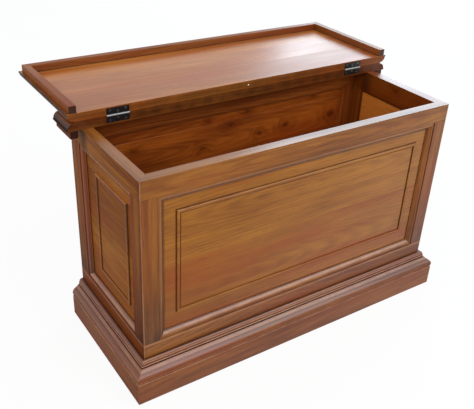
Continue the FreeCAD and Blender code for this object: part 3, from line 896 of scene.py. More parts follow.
def choose(piece: bpy.types.Object, kind: str, test: Callable[[object], bool]) -> None:
    """Select parts of a mesh in edit mode.

    Args:
        piece: The object in edit mode.
        kind: "VERT", "EDGE" or "FACE".
        test: Says which of these are selected.
    """
    bpy.ops.mesh.select_mode(type=kind)
    bpy.ops.mesh.select_all(action="DESELECT")
    mesh = bmesh.from_edit_mesh(piece.data)
    parts = {"VERT": mesh.verts, "EDGE": mesh.edges, "FACE": mesh.faces}[kind]
    for part in parts:
        if test(part):
            part.select_set(True)
    mesh.select_flush_mode()
    bmesh.update_edit_mesh(piece.data)


def settle(piece: bpy.types.Object, name: str) -> bpy.types.Object:
    """Name a new piece and put its place in its mesh.

    Args:
        piece: The piece.
        name: Its name.

    Returns:
        The piece.
    """
    take(piece)
    piece.name = piece.data.name = name
    bpy.ops.object.transform_apply(location=True, rotation=True, scale=True)
    return piece


def block(name: str, low: Sequence[float], high: Sequence[float]) -> bpy.types.Object:
    """Add a cube between two corners.

    Args:
        name: Its name.
        low: The lower corner.
        high: The higher corner.

    Returns:
        The cube.
    """
    let_go()
    middle = [(a + b) / 2 for a, b in zip(low, high)]
    size = [b - a for a, b in zip(low, high)]
    bpy.ops.mesh.primitive_cube_add(size=1, location=middle, scale=size)
    return settle(bpy.context.object, name)


def rod(name: str, start: Vector, end: Vector, radius: float, far_radius: float | None = None,
        sides: int = 32) -> bpy.types.Object:
    """Add a cylinder, or a cone with two radii, between two points.

    Args:
        name: Its name.
        start: The middle of its first end.
        end: The middle of its far end.
        radius: Its radius at the first end.
        far_radius: Its radius at the far end, where that differs.
        sides: Number of its sides.

    Returns:
        The cylinder.
    """
    let_go()
    way = end - start
    bpy.ops.mesh.primitive_cone_add(
        vertices=sides, radius1=radius, radius2=radius if far_radius is None else far_radius,
        depth=way.length, location=(start + end) / 2,
        rotation=way.to_track_quat("Z", "Y").to_euler())
    return settle(bpy.context.object, name)


def copy_at(pattern: bpy.types.Object, spot: Vector, turn: float) -> bpy.types.Object:
    """Copy a piece that was modelled at the origin, turn it round Y and move it.

    Args:
        pattern: The piece.
        spot: Where the copy goes.
        turn: Its angle round Y.

    Returns:
        The copy.
    """
    take(pattern)
    bpy.ops.object.duplicate(linked=False)
    twin = bpy.context.object
    twin.location = spot
    twin.rotation_euler = (0.0, turn, 0.0)
    bpy.ops.object.transform_apply(location=True, rotation=True, scale=True)
    return twin


def carve(piece: bpy.types.Object, *tools: bpy.types.Object) -> None:
    """Cut tools out of a piece and throw them away.

    Args:
        piece: The piece.
        *tools: The tools.
    """
    for tool in tools:
        take(piece)
        bpy.ops.object.modifier_add(type="BOOLEAN")
        modifier = piece.modifiers[-1]
        modifier.operation = "DIFFERENCE"
        modifier.solver = "EXACT"
        modifier.object = tool
        bpy.ops.object.modifier_apply(modifier=modifier.name)
        bpy.data.objects.remove(tool)


def soften(piece: bpy.types.Object, width: float, sharp: float = math.radians(40)) -> None:
    """Round the sharp edges of a whole piece.

    Args:
        piece: The piece.
        width: Width of the rounding.
        sharp: The angle from which an edge is sharp.
    """
    take(piece)
    bpy.ops.object.modifier_add(type="BEVEL")
    modifier = piece.modifiers[-1]
    modifier.width = width
    modifier.segments = 2
    modifier.limit_method = "ANGLE"
    modifier.angle_limit = sharp
    bpy.ops.object.modifier_apply(modifier=modifier.name)


def round_corner(piece: bpy.types.Object, corner: Sequence[float], radius: float,
                 facets: int = 6) -> None:
    """Round an upright corner of the chest, also where it is mitred between two pieces.

    Args:
        piece: The piece.
        corner: X and Y of the corner.
        radius: Radius of the rounding.
        facets: Number of steps in which it turns.
    """
    outwards = [math.copysign(1.0, value - middle) for value, middle in zip(corner, MIDDLE)]
    centre = Vector([value - sign * radius for value, sign in zip(corner, outwards)] + [0.0])
    for step in range(1, facets):
        lean = step / facets * math.pi / 2
        away = Vector((outwards[0] * math.sin(lean), outwards[1] * math.cos(lean), 0.0))
        edit_all(piece)
        bpy.ops.mesh.bisect(plane_co=centre + radius * away, plane_no=away, use_fill=True,
                            clear_outer=True)
    let_go()


def score(piece: bpy.types.Object, axis: int, places: Iterable[float], facing: Vector,
          width: float = 1.2 * MM, depth: float = 0.8 * MM) -> None:
    """Cut fine V-grooves across a piece, along the joints of its boards.

    Args:
        piece: The piece.
        axis: The axis across the grooves.
        places: Where they lie on it.
        facing: Direction that the grooved face faces.
        width: Width of a groove.
        depth: Depth of a groove.
    """
    across = Vector([float(i == axis) for i in range(3)])
    level = max(facing.dot(vertex.co) for vertex in piece.data.vertices)
    for place in places:
        for step in (-width / 2, 0.0, width / 2):
            edit_all(piece)
            bpy.ops.mesh.bisect(plane_co=across * (place + step), plane_no=across)
        choose(piece, "VERT", lambda vertex: abs(vertex.co[axis] - place) < TOUCH
               and abs(facing.dot(vertex.co) - level) < TOUCH)
        bpy.ops.transform.translate(value=-depth * facing)
    let_go()


@dataclass
class Workshop:
    """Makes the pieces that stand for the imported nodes.

    Attributes:
        nodes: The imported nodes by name.
        made: Number of pieces made so far, which also seeds their grain.
        flat: The angle up to which two triangles are one face.
        sharp: The angle from which an edge is eased.
        smooth: The angle up to which shading runs smoothly over an edge.
        joint_gap: The distance from a neighbour from which an edge is eased.
        board_margin: The distance from a piece's edge from which a joint of boards is scored.
    """

    nodes: dict[str, bpy.types.Object]
    made: int = 0
    flat: float = math.radians(0.5)
    sharp: float = math.radians(25)
    smooth: float = math.radians(30)
    joint_gap: float = 0.2 * MM
    board_margin: float = 5 * MM

    def neighbours(self, node: str) -> BVHTree:
        """Collect the surfaces of all the nodes but one.

        Args:
            node: That node's name.

        Returns:
            The surfaces.
        """
        points: list[Vector] = []
        faces: list[tuple[int, ...]] = []
        for name, other in self.nodes.items():
            if name != node:
                start = len(points)
                points += [vertex.co for vertex in other.data.vertices]
                faces += [tuple(i + start for i in face.vertices) for face in other.data.polygons]
        return BVHTree.FromPolygons(points, faces)

    def copy(self, node: str) -> bpy.types.Object:
        """Copy a node's mesh, and merge its loose triangles into whole faces.

        Args:
            node: The node's name.

        Returns:
            The copy.
        """
        piece = bpy.data.objects.new(f"{node}_dressed", self.nodes[node].data.copy())
        bpy.context.scene.collection.objects.link(piece)
        edit_all(piece)
        bpy.ops.mesh.remove_doubles(threshold=TOUCH)
        bpy.ops.mesh.dissolve_limited(angle_limit=self.flat)
        let_go()
        return piece

    def ease(self, node: str, radius: float) -> bpy.types.Object:
        """Copy a node and round its sharp edges, apart from those at a joint with a neighbour.

        Args:
            node: The node's name.
            radius: Radius of the rounding.

        Returns:
            The new piece.
        """
        piece = self.copy(node)
        near = self.neighbours(node)

        def free(edge: bmesh.types.BMEdge) -> bool:
            """Tell whether an edge is sharp and away from the neighbours.

            Args:
                edge: The edge.

            Returns:
                Whether it is.
            """
            if len(edge.link_faces) != 2 or not edge.is_convex:
                return False
            if edge.calc_face_angle() < self.sharp:
                return False
            start, end = (vertex.co for vertex in edge.verts)
            spots = [start.lerp(end, share) for share in (0.2, 0.5, 0.8)]
            return all(near.find_nearest(spot)[3] > self.joint_gap for spot in spots)

        edit_all(piece)
        choose(piece, "EDGE", free)
        bpy.ops.mesh.bevel(offset=radius, segments=2, affect="EDGES", clamp_overlap=True)
        let_go()
        return piece

    def deliver(self, piece: bpy.types.Object, body: str, finish: Wood | Metal,
                material: bpy.types.Material, *nodes: str) -> bpy.types.Object:
        """Finish a piece, and let it ride on its body in place of its nodes.

        Args:
            piece: The piece, with its place in its mesh.
            body: The body that it moves with.
            finish: Its finish. It is not used.
            material: Its material.
            *nodes: The nodes that it stands for.

        Returns:
            The piece.
        """
        take(piece)
        bpy.ops.object.shade_smooth_by_angle(angle=self.smooth)
        bpy.ops.object.modifier_add(type="WEIGHTED_NORMAL")
        piece.modifiers[-1].keep_sharp = True
        bpy.ops.object.modifier_apply(modifier=piece.modifiers[-1].name)
        piece.data.materials.clear()
        piece.data.materials.append(material)
        let_go()
        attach(piece, body)
        if nodes:
            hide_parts(*nodes)
        self.made += 1
        LOG.info("%s: %d faces on %s", piece.name, len(piece.data.polygons), body)
        return piece

    def wooden(self, node: str, body: str, finish: Wood, figure: Figure,
               radius: float = 0.8 * MM, corners: Iterable[Sequence[float]] = (),
               corner_radius: float = 1.8 * MM) -> bpy.types.Object:
        """Make a wooden piece with eased edges from its node.

        Args:
            node: The node's name.
            body: The body that it moves with.
            finish: Its finish.
            figure: What sets it apart.
            radius: Radius of its edges.
            corners: Upright corners of the chest that it is part of.
            corner_radius: Radius of these corners.

        Returns:
            The piece.
        """
        piece = self.ease(node, radius)
        for corner in corners:
            round_corner(piece, corner, corner_radius)
        if figure.boards and finish is INSIDE_WOOD:
            axis = figure.boards.axis
            low, high = (point[axis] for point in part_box(node))
            joints = figure.boards.joints(low + self.board_margin, high - self.board_margin)
            facing = Vector((0, -1, 0)) if axis == 2 else Vector((0, 0, 1))
            for side in (facing, -facing):
                score(piece, axis, joints, side)
        material = finish.material(node, figure, self.made + 1)
        return self.deliver(piece, body, finish, material, node)


@dataclass
class Walls:
    """The four frame-and-panel walls.

    Attributes:
        half_width: Half the width over the walls.
        front: Y of the front face.
        back: Y of the back face.
        low: Height of the lower edge of the openings in the frames' outer faces.
        high: Height of their upper edge.
        front_opening: Half the width of the front wall's opening.
        back_opening: Half the width of the back wall's opening.
        side_stiles: Width of the side walls' front and rear stiles beside their openings.
        moulding: Width of the frames' moulded inner edge.
        field_low: Height of the lower edge of the panels' raised fields.
        field_high: Height of their upper edge.
        front_field: Half the width of the front panel's field.
        side_field: Y of the front and rear edge of the side panels' fields.
        bead: Distance of a bead's inner edge from the field's edge.
        panel_inside: Half the distance between the insides of the side panels.
        back_inside: Y of the inside of the back panel.
        strip: Y of the rear strip's front edge.
        glue_line: Height of a joint between the boards of the front and side panels.
        front_board: Width of the front panel's boards.
        side_board: Width of the side panels' boards.
        back_joint: Height of a joint between the back panel's boards.
        back_board: Width of these boards.
        corner_highlight: Distance from the corner of the painted highlight along it.
        stain_low: Height of the middle of the darkening low on the stiles.
        darkening_reach: How far it reaches.
        rail_knot: The knot in the right wall's top rail.
        back_knots: X, height and radius of each knot on the inside of the back.
        edge_radius: Radius of the panels' edges.
    """

    half_width: float = 500 * MM
    front: float = -319.5 * MM
    back: float = 84.5 * MM
    low: float = 158 * MM
    high: float = 582 * MM
    front_opening: float = 455 * MM
    back_opening: float = 448 * MM
    side_stiles: tuple[float, float] = (48 * MM, 52 * MM)
    moulding: float = 20 * MM
    field_low: float = 221 * MM
    field_high: float = 527 * MM
    front_field: float = 400 * MM
    side_field: tuple[float, float] = (-226.5 * MM, -43.5 * MM)
    bead: float = 10.5 * MM
    panel_inside: float = 478 * MM
    back_inside: float = 62.5 * MM
    strip: float = -2.5 * MM
    glue_line: float = 378 * MM
    front_board: float = 220 * MM
    side_board: float = 150 * MM
    back_joint: float = 535 * MM
    back_board: float = 118 * MM
    corner_highlight: float = 1.25 * MM
    stain_low: float = 90 * MM
    darkening_reach: float = 330 * MM
    rail_knot: Knot = Knot((470 * MM, -135 * MM, 612 * MM), 7 * MM)
    back_knots: tuple[tuple[int, int, int], ...] = (
        (50, 552, 8), (-9, 521, 9), (203, 479, 9), (392, 482, 11), (-214, 599, 9), (102, 471, 7),
        (-106, 462, 8), (-88, 546, 5), (-330, 505, 8), (310, 560, 6), (-20, 330, 10),
        (250, 280, 8), (-280, 240, 9))
    edge_radius: float = 0.5 * MM

    def build(self, shop: Workshop) -> None:
        """Make the rails, stiles and panels.

        Args:
            shop: The workshop.
        """
        front, back = (Rectangle((0, 2), (-reach, self.low), (reach, self.high))
                       for reach in (self.front_opening, self.back_opening))
        side = Rectangle((1, 2), (self.front + self.side_stiles[0], self.low),
                         (self.back - self.side_stiles[1], self.high))
        for wall, along, opening in (("front", Grain.WIDTH, front), ("back", Grain.WIDTH, back),
                                     ("left", Grain.DEPTH, side), ("right", Grain.DEPTH, side)):
            self.frame(shop, wall, along, opening)
        self.front_panel(shop, front)
        # The right panel is paler and redder than the left as painted light on its inside face.
        for wall, tone, red in ((Side.LEFT, 0.15, 0.0), (Side.RIGHT, -0.35, 0.25)):
            self.side_panel(shop, side, wall, tone, red)
        knots = tuple(Knot((x * MM, self.back_inside, z * MM), radius * MM)
                      for x, z, radius in self.back_knots)
        shop.wooden("back_panel", "chest", INSIDE_WOOD, Figure(
            Grain.WIDTH, Boards(2, self.back_joint, self.back_board), knots), self.edge_radius)

    def front_panel(self, shop: Workshop, opening: Rectangle) -> None:
        """Make the front panel.

        Args:
            shop: The workshop.
            opening: The opening in the frame's outer face.
        """
        field = Rectangle((0, 2), (-self.front_field, self.field_low),
                          (self.front_field, self.field_high))
        # Along the bead, painted shade that follows how light falls: darkest on the left and top,
        # faint on the right and nearly none at the bottom.
        shop.wooden("front_panel", "chest", FRONT_PANEL_WOOD, Figure(
            Grain.WIDTH, Boards(2, self.glue_line, self.front_board, -0.18),
            stained=self.panel_stain(opening, field, (0.95, 0.4, 0.03, 0.8)),
            tone=-0.08, red=-0.10), self.edge_radius)

    def side_panel(self, shop: Workshop, opening: Rectangle, wall: Side, tone: float,
                   red: float) -> None:
        """Make a side wall's panel.

        Args:
            shop: The workshop.
            opening: The opening in the frame's outer face.
            wall: The wall's side.
            tone: How dark the panel is.
            red: How red it is.
        """
        low, high = self.side_field
        field = Rectangle((1, 2), (low, self.field_low), (high, self.field_high))
        # Along the bead, painted shade darkest at the front; a painted highlight along the bead's
        # top; the inside face painted paler as painted light.
        shop.wooden(f"{wall.word}_panel", "chest", PANEL_WOOD, Figure(
            Grain.DEPTH, Boards(2, self.glue_line, self.side_board), tone=tone, red=red,
            stained=self.panel_stain(opening, field, (1.0, 0.1, 0.05, 0.3)),
            painted_highlights=(replace(field, shares=(0.0, 0.1, 0.1, 0.6), spread=4 * MM),),
            lit_face=Line(0, wall.value * self.panel_inside, 4 * MM, 0)), self.edge_radius)

    def frame(self, shop: Workshop, wall: str, along: Grain, opening: Rectangle) -> None:
        """Make one wall's rails and stiles.

        Args:
            shop: The workshop.
            wall: The wall's name.
            along: The way its rails run.
            opening: The opening in its outer face.
        """
        corners = [(x, y) for x in (-self.half_width, self.half_width)
                   for y in (self.front, self.back)]
        finish = BACK_WOOD if wall == "back" else FRAME_WOOD
        # Dark lines along the moulding round the opening: stain in its hollows and painted shade.
        hollows = () if wall == "back" else (
            opening.inset(0.5 * MM, 1.5 * MM, 0.6, 0.6, 0.5, 0.7),
            opening.inset(17.5 * MM, 3.0 * MM, 0.9, 0.7, 0.4, 0.8))
        if along is Grain.WIDTH:
            ends = (-self.half_width, self.half_width)
            # Painted highlights along the upright corners.
            painted_highlights = tuple(Line(0, place - math.copysign(self.corner_highlight, place), 2.0 * MM, 1)
                         for place in ends)
            bands = ((16 * MM, 0.2),)
            strip_shade, low_tone, sides = (), 0.10, ("left", "right")
        else:
            ends, painted_highlights = (self.front, self.back), ()
            bands = ((5 * MM, 0.6), (22 * MM, 0.45))
            # Painted shade of the rear strip on the side rails, next to it.
            strip_shade = (Line(1, self.strip, 40 * MM, 0, 0.85),)
            low_tone, sides = 0.30, ("front", "rear")
        # The rails and stiles are also darker near the chest's corners.
        stained = hollows + tuple(Line(along.value, place, spread, share=share) for place in ends
                                  for spread, share in bands)
        # The stiles are darker towards the bottom.
        low_darkening = (Line(2, self.stain_low, self.darkening_reach, share=0.85),)
        # Painted highlights along the moulding at the foot of the opening.
        sill_highlight = (Line(2, self.low - 4 * MM, 4.5 * MM, share=0.6),
                Line(2, self.low + 12 * MM, 7 * MM, share=0.9))
        right = wall == "right"
        shop.wooden(f"{wall}_top_rail", "chest", finish, Figure(
            along, knots=(self.rail_knot,) if right else (), stained=stained + strip_shade,
            painted_highlights=painted_highlights, red=0.30 if right else -0.12), corners=corners)
        shop.wooden(f"{wall}_bottom_rail", "chest", finish, Figure(
            along, stained=stained, painted_highlights=painted_highlights + sill_highlight, tone=low_tone, red=-0.04), corners=corners)
        for end in sides:
            shop.wooden(f"{wall}_{end}_stile", "chest", finish, Figure(
                Grain.HEIGHT, stained=stained + low_darkening, painted_highlights=painted_highlights,
                tone=0.25 if end == "front" else 0.04, red=0.04), corners=corners)

    def panel_stain(self, opening: Rectangle, field: Rectangle,
                    shares: tuple[float, float, float, float]) -> tuple[Rectangle, ...]:
        """Where a panel is darkened by stain in its hollows and by painted shade: along its frame,
        with a painted shadow of the top rail along the top, and along its bead.

        Args:
            opening: The opening in the frame's outer face.
            field: The outer edge of the bead round the field.
            shares: How much stain and painted shade the bead shows, side by side.

        Returns:
            The hollows.
        """
        # Painted shadow of the top rail: the band along the opening is strongest at the top and
        # faint at the bottom.
        return (opening.inset(self.moulding, 5 * MM, 0.8, 0.6, 0.2, 0.9),
                field.inset(-0.5 * MM, 2.5 * MM, *shares),
                field.inset(self.bead, 2.0 * MM, *(share / 2 for share in shares)))


@dataclass
class Bottom:
    """The chest's floor, with what carries it.

    Attributes:
        joint: Y of a joint between the floor's boards.
        board: Width of these boards.
        knots: The knots in the floor.
        edge_radius: Radius of the floor's edges.
    """

    joint: float = -172 * MM
    board: float = 110 * MM
    knots: tuple[Knot, ...] = (Knot((-210 * MM, -190 * MM, 78 * MM)),
                               Knot((300 * MM, -50 * MM, 78 * MM), 10 * MM))
    edge_radius: float = 0.5 * MM

    def build(self, shop: Workshop) -> None:
        """Make the floor, the cleats and the blocks.

        Args:
            shop: The workshop.
        """
        shop.wooden("floor_panel", "chest", INSIDE_WOOD, Figure(
            Grain.WIDTH, Boards(1, self.joint, self.board), self.knots), self.edge_radius)
        for cleat, grain in (("front", Grain.WIDTH), ("back", Grain.WIDTH),
                             ("left", Grain.DEPTH), ("right", Grain.DEPTH)):
            shop.wooden(f"{cleat}_floor_cleat", "chest", INSIDE_WOOD, Figure(grain))
        shop.wooden("corner_blocks", "chest", INSIDE_WOOD, Figure(Grain.HEIGHT))


@dataclass
class Plinth:
    """The plinth's boards and the base moulding on them.

    Attributes:
        half_width: Half the width over the plinth.
        front: Y of its front face.
        board_top: Height of its boards.
        board_radius: Radius of their edges.
        corner_radius: Radius of their upright corners.
        moulding_radius: Radius of the moulding's edges.
        hollows: Heights of the hollows between the moulding's members.
        hollow_reach: How far the darkening in a hollow reaches, stain and painted shade.
        painted_highlights: Height, reach and share of each painted highlight along the moulding.
    """

    half_width: float = 535 * MM
    front: float = -354.5 * MM
    board_top: float = 65.5 * MM
    board_radius: float = 1.5 * MM
    corner_radius: float = 1.5 * MM
    moulding_radius: float = 0.4 * MM
    hollows: tuple[float, ...] = (65.5 * MM, 90.5 * MM, 98.5 * MM, 104.5 * MM, 110.5 * MM, 117 * MM)
    hollow_reach: float = 1.2 * MM
    painted_highlights: tuple[tuple[float, float, float], ...] = (
        (110.5 * MM, 1.6 * MM, 0.8), (103 * MM, 2.2 * MM, 0.9), (94.5 * MM, 4 * MM, 0.7))

    def build(self, shop: Workshop) -> None:
        """Make the boards, the mouldings and the rail under the back wall.

        Args:
            shop: The workshop.
        """
        corners = [(side.value * self.half_width, self.front) for side in Side]
        # Dark lines in the hollows between the moulding's members: stain and painted shade.
        stained = tuple(Line(2, height, self.hollow_reach) for height in self.hollows)
        # Painted highlights along the moulding's beads and along the boards' top edge.
        painted_highlights = tuple(Line(2, height, reach, share=share) for height, reach, share in self.painted_highlights)
        top_edge_highlight = (Line(2, self.board_top, 2.0 * MM),)
        for side, grain in (("front", Grain.WIDTH), ("left", Grain.DEPTH), ("right", Grain.DEPTH)):
            shop.wooden(f"plinth_{side}_board", "chest", PLINTH_WOOD,
                        Figure(grain, painted_highlights=top_edge_highlight, red=0.04), self.board_radius, corners,
                        self.corner_radius)
            shop.wooden(f"plinth_{side}_moulding", "chest", PLINTH_WOOD,
                        Figure(grain, stained=stained, painted_highlights=painted_highlights), self.moulding_radius)
        shop.wooden("plinth_back_rail", "chest", INSIDE_WOOD, Figure(Grain.WIDTH))


@dataclass
class RearStrip:
    """The fixed strip behind the lid, with the lips below its ends.

    Attributes:
        half_width: Half its width over the moulded ends.
        middle: Height of its middle.
        top: Height of its top.
        top_reach: How far the painted shade along its top edge reaches.
        edge_reach: How far the darkening on its front edge reaches.
        end_reach: How far the darkening on its ends reaches.
        lip_reach: How far the painted shade on the lips reaches.
    """

    half_width: float = 541 * MM
    middle: float = 644 * MM
    top: float = 656 * MM
    top_reach: float = 3 * MM
    edge_reach: float = 40 * MM
    end_reach: float = 24 * MM
    lip_reach: float = 80 * MM

    def build(self, shop: Workshop) -> None:
        """Make the strip and its lips.

        Args:
            shop: The workshop.
        """
        # Painted shade along the top edge, where the strip meets the lid; the strip is also darker
        # on its ends and its front edge.
        ends = tuple(Line(0, side.value * self.half_width, self.end_reach) for side in Side)
        stained = (Line(2, self.top, self.top_reach, 1),
                   Line(2, self.middle, self.edge_reach, 1, 0.85)) + ends
        shop.wooden("rear_strip", "chest", STRIP_WOOD, Figure(Grain.WIDTH, stained=stained))
        # The lips are darkened as painted shade.
        for side in Side:
            shop.wooden(f"{side.word}_strip_lip", "chest", STRIP_WOOD, Figure(
                Grain.DEPTH, stained=(Line(2, self.middle, self.lip_reach),)))


@dataclass
class Lid:
    """The lid's board, its rims and its stud, as the lid lies folded back.

    Attributes:
        board: Width of its boards.
        half_width: Half the width over the rims.
        front: Y of the front rim's outer face.
        top: Height of the lid's top, which faces down.
        underside: Height of its underside, which faces up.
        joint: Y of a joint between its boards.
        rim_inside: Half the distance between the side rims.
        front_inside: Y of the front rim's inner face.
        rear: Y of the fourth side of the outlines of its darkening, which lies off the board.
        inner_reach: How far the stain and painted shade along the inside of the rims reach.
        meeting_reach: How far the painted shade along the meeting edges of lid and strip reaches.
        edge_reach: How far the darkening on the board's edges reaches.
        edge_share: How dark it is.
        nose_reach: How far the darkening on the moulded edge reaches.
        foot_reach: How far the stain and painted shade at the foot of the rims reach.
        nose: How far the moulded edge stands out beyond the rims.
        rim_radius: Radius of the rims' edges.
        rim_corner: Radius of their upright corners.
        dome: Radius of the stud's domed head.
        dimple: Width of the ring round its dimple.
        dimple_depth: Depth of the dimple.
    """

    board: float = 118 * MM
    half_width: float = 533 * MM
    front: float = 346.5 * MM
    top: float = 656.3 * MM
    underside: float = 679.8 * MM
    joint: float = -2.5 * MM
    rim_inside: float = 512 * MM
    front_inside: float = 325.5 * MM
    rear: float = -80 * MM
    inner_reach: float = 4 * MM
    meeting_reach: float = 3 * MM
    edge_reach: float = 24 * MM
    edge_share: float = 0.62
    nose_reach: float = 10 * MM
    foot_reach: float = 2.5 * MM
    nose: float = 8 * MM
    rim_radius: float = 1.2 * MM
    rim_corner: float = 3 * MM
    dome: float = 1.2 * MM
    dimple: float = 0.7 * MM
    dimple_depth: float = 0.5 * MM

    def build(self, shop: Workshop) -> None:
        """Make the lid.

        Args:
            shop: The workshop.
        """
        # Stain and painted shade along the inside of the rims, painted shade along the edge that
        # meets the strip, and darker edges and moulded edge.
        inner = Rectangle((0, 1), (-self.rim_inside, self.rear),
                          (self.rim_inside, self.front_inside), self.inner_reach, 2)
        meeting = Line(2, self.top, self.meeting_reach, 1)
        edge = Line(2, (self.top + self.underside) / 2, self.edge_reach, 1, self.edge_share)
        reach = self.half_width + self.nose
        nose = Rectangle((0, 1), (-reach, self.rear), (reach, self.front + self.nose),
                         self.nose_reach, shares=(1.0, 1.0, 0.0, 0.5))
        shop.wooden("lid_board", "lid", LID_WOOD, Figure(
            Grain.WIDTH, Boards(1, self.joint, self.board), stained=(inner, meeting, edge, nose)))
        corners = [(side.value * self.half_width, self.front) for side in Side]
        # Stain and painted shade at the foot of the rims.
        foot = (Line(2, self.underside, self.foot_reach),)
        for rim, grain in (("front", Grain.WIDTH), ("left", Grain.DEPTH), ("right", Grain.DEPTH)):
            shop.wooden(f"lid_{rim}_rim", "lid", RIM_WOOD, Figure(grain, stained=foot),
                        self.rim_radius, corners, self.rim_corner)
        self.stud(shop)

    def stud(self, shop: Workshop) -> None:
        """Make the stud with its domed head and a dimple.

        Args:
            shop: The workshop.
        """
        low, high = (Vector(point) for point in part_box("lid_stud"))
        middle = (low + high) / 2
        piece = rod("lid_stud_dressed", Vector((middle.x, high.y, middle.z)),
                    Vector((middle.x, low.y, middle.z)), (high.x - low.x) / 2, sides=40)
        edit_all(piece)
        choose(piece, "EDGE", lambda edge: all(v.co.y < low.y + TOUCH for v in edge.verts))
        bpy.ops.mesh.bevel(offset=self.dome, segments=5, affect="EDGES")
        choose(piece, "FACE", lambda face: face.normal.y < -0.99
               and face.calc_center_median().y < low.y + 10 * TOUCH)
        bpy.ops.mesh.inset(thickness=self.dimple)
        bpy.ops.mesh.extrude_region_move(
            TRANSFORM_OT_translate={"value": (0, self.dimple_depth, 0)})
        shop.deliver(piece, "lid", STUD_STEEL, STUD_STEEL.material("stud"), "lid_stud")


@dataclass
class Hinges:
    """The two butt hinges with their screws.

    Attributes:
        knuckles: Number of knuckles of a hinge.
        gap: Gap between two knuckles.
        iron: Thickness of the iron.
        barrel: Outer radius of the knuckles.
        shoulder: Distance from the barrel of the bend between leaf and knuckle.
        roll: Angle by which a knuckle is rolled.
        roll_steps: Number of steps in which it is rolled.
        corner: Radius of a leaf's outer corners.
        edge: Width of a leaf's rounded edges.
        bright: How far inside the barrel's surface its paint is scuffed off.
        holes: Distance of each screw from the chest's middle and from the pin's axis.
        head: Radius of a screw's head.
        shank: Radius of a screw's shank.
        sink: Depth of a screw's head.
        screw_length: Length of a screw.
        head_play: Play round a screw's head.
        shank_play: Play round its shank.
        overrun: How far a cutter reaches beyond what it cuts.
        turn: How much further round each screw is turned than the one before it.
        point_share: Share of the shank that is its point.
        point_scale: How thin the point's tip is.
        recess: Half the length, half the width and the depth of an arm of a screw's recess.
        recess_rim: Width of the rim round a screw's crowned face.
        crown: How far that face stands out.
        pin_head: Radius of a pin's heads.
        pin_crown: Reach and scale of each step of their domes.
    """

    knuckles: int = 5
    gap: float = 0.3 * MM
    iron: float = 1.5 * MM
    barrel: float = 3.0 * MM
    shoulder: float = 0.6 * MM
    roll: float = math.radians(285)
    roll_steps: int = 15
    corner: float = 1.5 * MM
    edge: float = 0.2 * MM
    bright: float = 0.2 * MM
    holes: tuple[tuple[float, float], ...] = (
        (379 * MM, 14 * MM), (401 * MM, 9 * MM), (423 * MM, 14 * MM))
    head: float = 3.0 * MM
    shank: float = 1.5 * MM
    sink: float = 1.4 * MM
    screw_length: float = 16 * MM
    head_play: float = 0.3 * MM
    shank_play: float = 0.2 * MM
    overrun: float = 0.1 * MM
    turn: float = 0.7
    point_share: float = 0.2
    point_scale: float = 0.1
    recess: tuple[float, float, float] = (1.7 * MM, 0.35 * MM, 0.7 * MM)
    recess_rim: float = 0.6 * MM
    crown: float = 0.15 * MM
    pin_head: float = 2.3 * MM
    pin_crown: tuple[tuple[float, float], ...] = (
        (0.2 * MM, 1.0), (0.12 * MM, 0.8), (0.06 * MM, 0.6))

    def build(self, shop: Workshop) -> None:
        """Make the leaves, the pins and the screws.

        Args:
            shop: The workshop.
        """
        screw = self.screw()
        for body, board, sign in (("chest", "strip", -1), ("lid", "lid", 1)):
            spots = []
            for side in Side:
                height = self.axis(side).z
                own = [Vector((side.value * out, self.face(), height + sign * away))
                       for out, away in self.holes]
                self.leaf(shop, side, board, body, sign, own)
                spots += own
            twins = [copy_at(screw, spot, self.turn * i) for i, spot in enumerate(spots)]
            take(*twins)
            bpy.ops.object.join()
            piece = settle(bpy.context.object, f"{board}_hinge_screws_dressed")
            shop.deliver(piece, body, SCREW_IRON, SCREW_IRON.material(f"{board}_screws"),
                         f"{board}_hinge_screws")
        bpy.data.objects.remove(screw)
        for side in Side:
            self.pin(shop, side)

    def face(self) -> float:
        """Y of the edges of the strip and the lid that the leaves are let into."""
        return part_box("rear_strip")[0][1]

    def axis(self, side: Side) -> Vector:
        """The middle of a hinge's pin."""
        low, high = (Vector(point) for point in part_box(f"{side.word}_hinge_pin"))
        return (low + high) / 2

    def spans(self, low: float, high: float, side: Side, sign: int) -> list[list[float]]:
        """Share a hinge's length out to the knuckles of one leaf.

        Args:
            low: X of the hinge's left end.
            high: X of its right end.
            side: The hinge's side.
            sign: 1 for the leaf above the pin and -1 for the one below it.

        Returns:
            The left and right end of each of that leaf's knuckles.
        """
        pitch = (high - low) / self.knuckles
        inner, outwards = (low, 1) if side is Side.RIGHT else (high, -1)
        return [sorted((inner + outwards * (number * pitch + self.gap / 2),
                        inner + outwards * ((number + 1) * pitch - self.gap / 2)))
                for number in range(self.knuckles) if (number % 2 == 1) == (sign > 0)]

    def leaf(self, shop: Workshop, side: Side, board: str, body: str, sign: int,
             screws: Sequence[Vector]) -> None:
        """Make a leaf whose knuckles are rolled from it round the pin.

        Args:
            shop: The workshop.
            side: The hinge's side.
            board: The board that it is let into, as node names say it.
            body: The body that it moves with.
            sign: 1 for a leaf above the pin and -1 for one below it.
            screws: The places of its screws.
        """
        node = f"{side.word}_{board}_leaf"
        low, high = (Vector(point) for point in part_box(node))
        axis = self.axis(side)
        front = self.face()
        start = axis.z + sign * (self.barrel + self.shoulder)
        end = high.z if sign > 0 else low.z
        piece = block(f"{node}_dressed", (low.x, front, min(start, end)),
                      (high.x, front + self.iron, max(start, end)))
        spans = self.spans(low.x, high.x, side, sign)
        for place in (place for span in spans for place in span):
            if low.x + TOUCH < place < high.x - TOUCH:
                edit_all(piece)
                bpy.ops.mesh.bisect(plane_co=(place, 0, 0), plane_no=(1, 0, 0))
        edit_all(piece)

        def rolled(face: bmesh.types.BMFace) -> bool:
            """Whether a knuckle is rolled from a face."""
            middle = face.calc_center_median()
            return face.normal.z * sign < -0.9 and any(a < middle.x < b for a, b in spans)

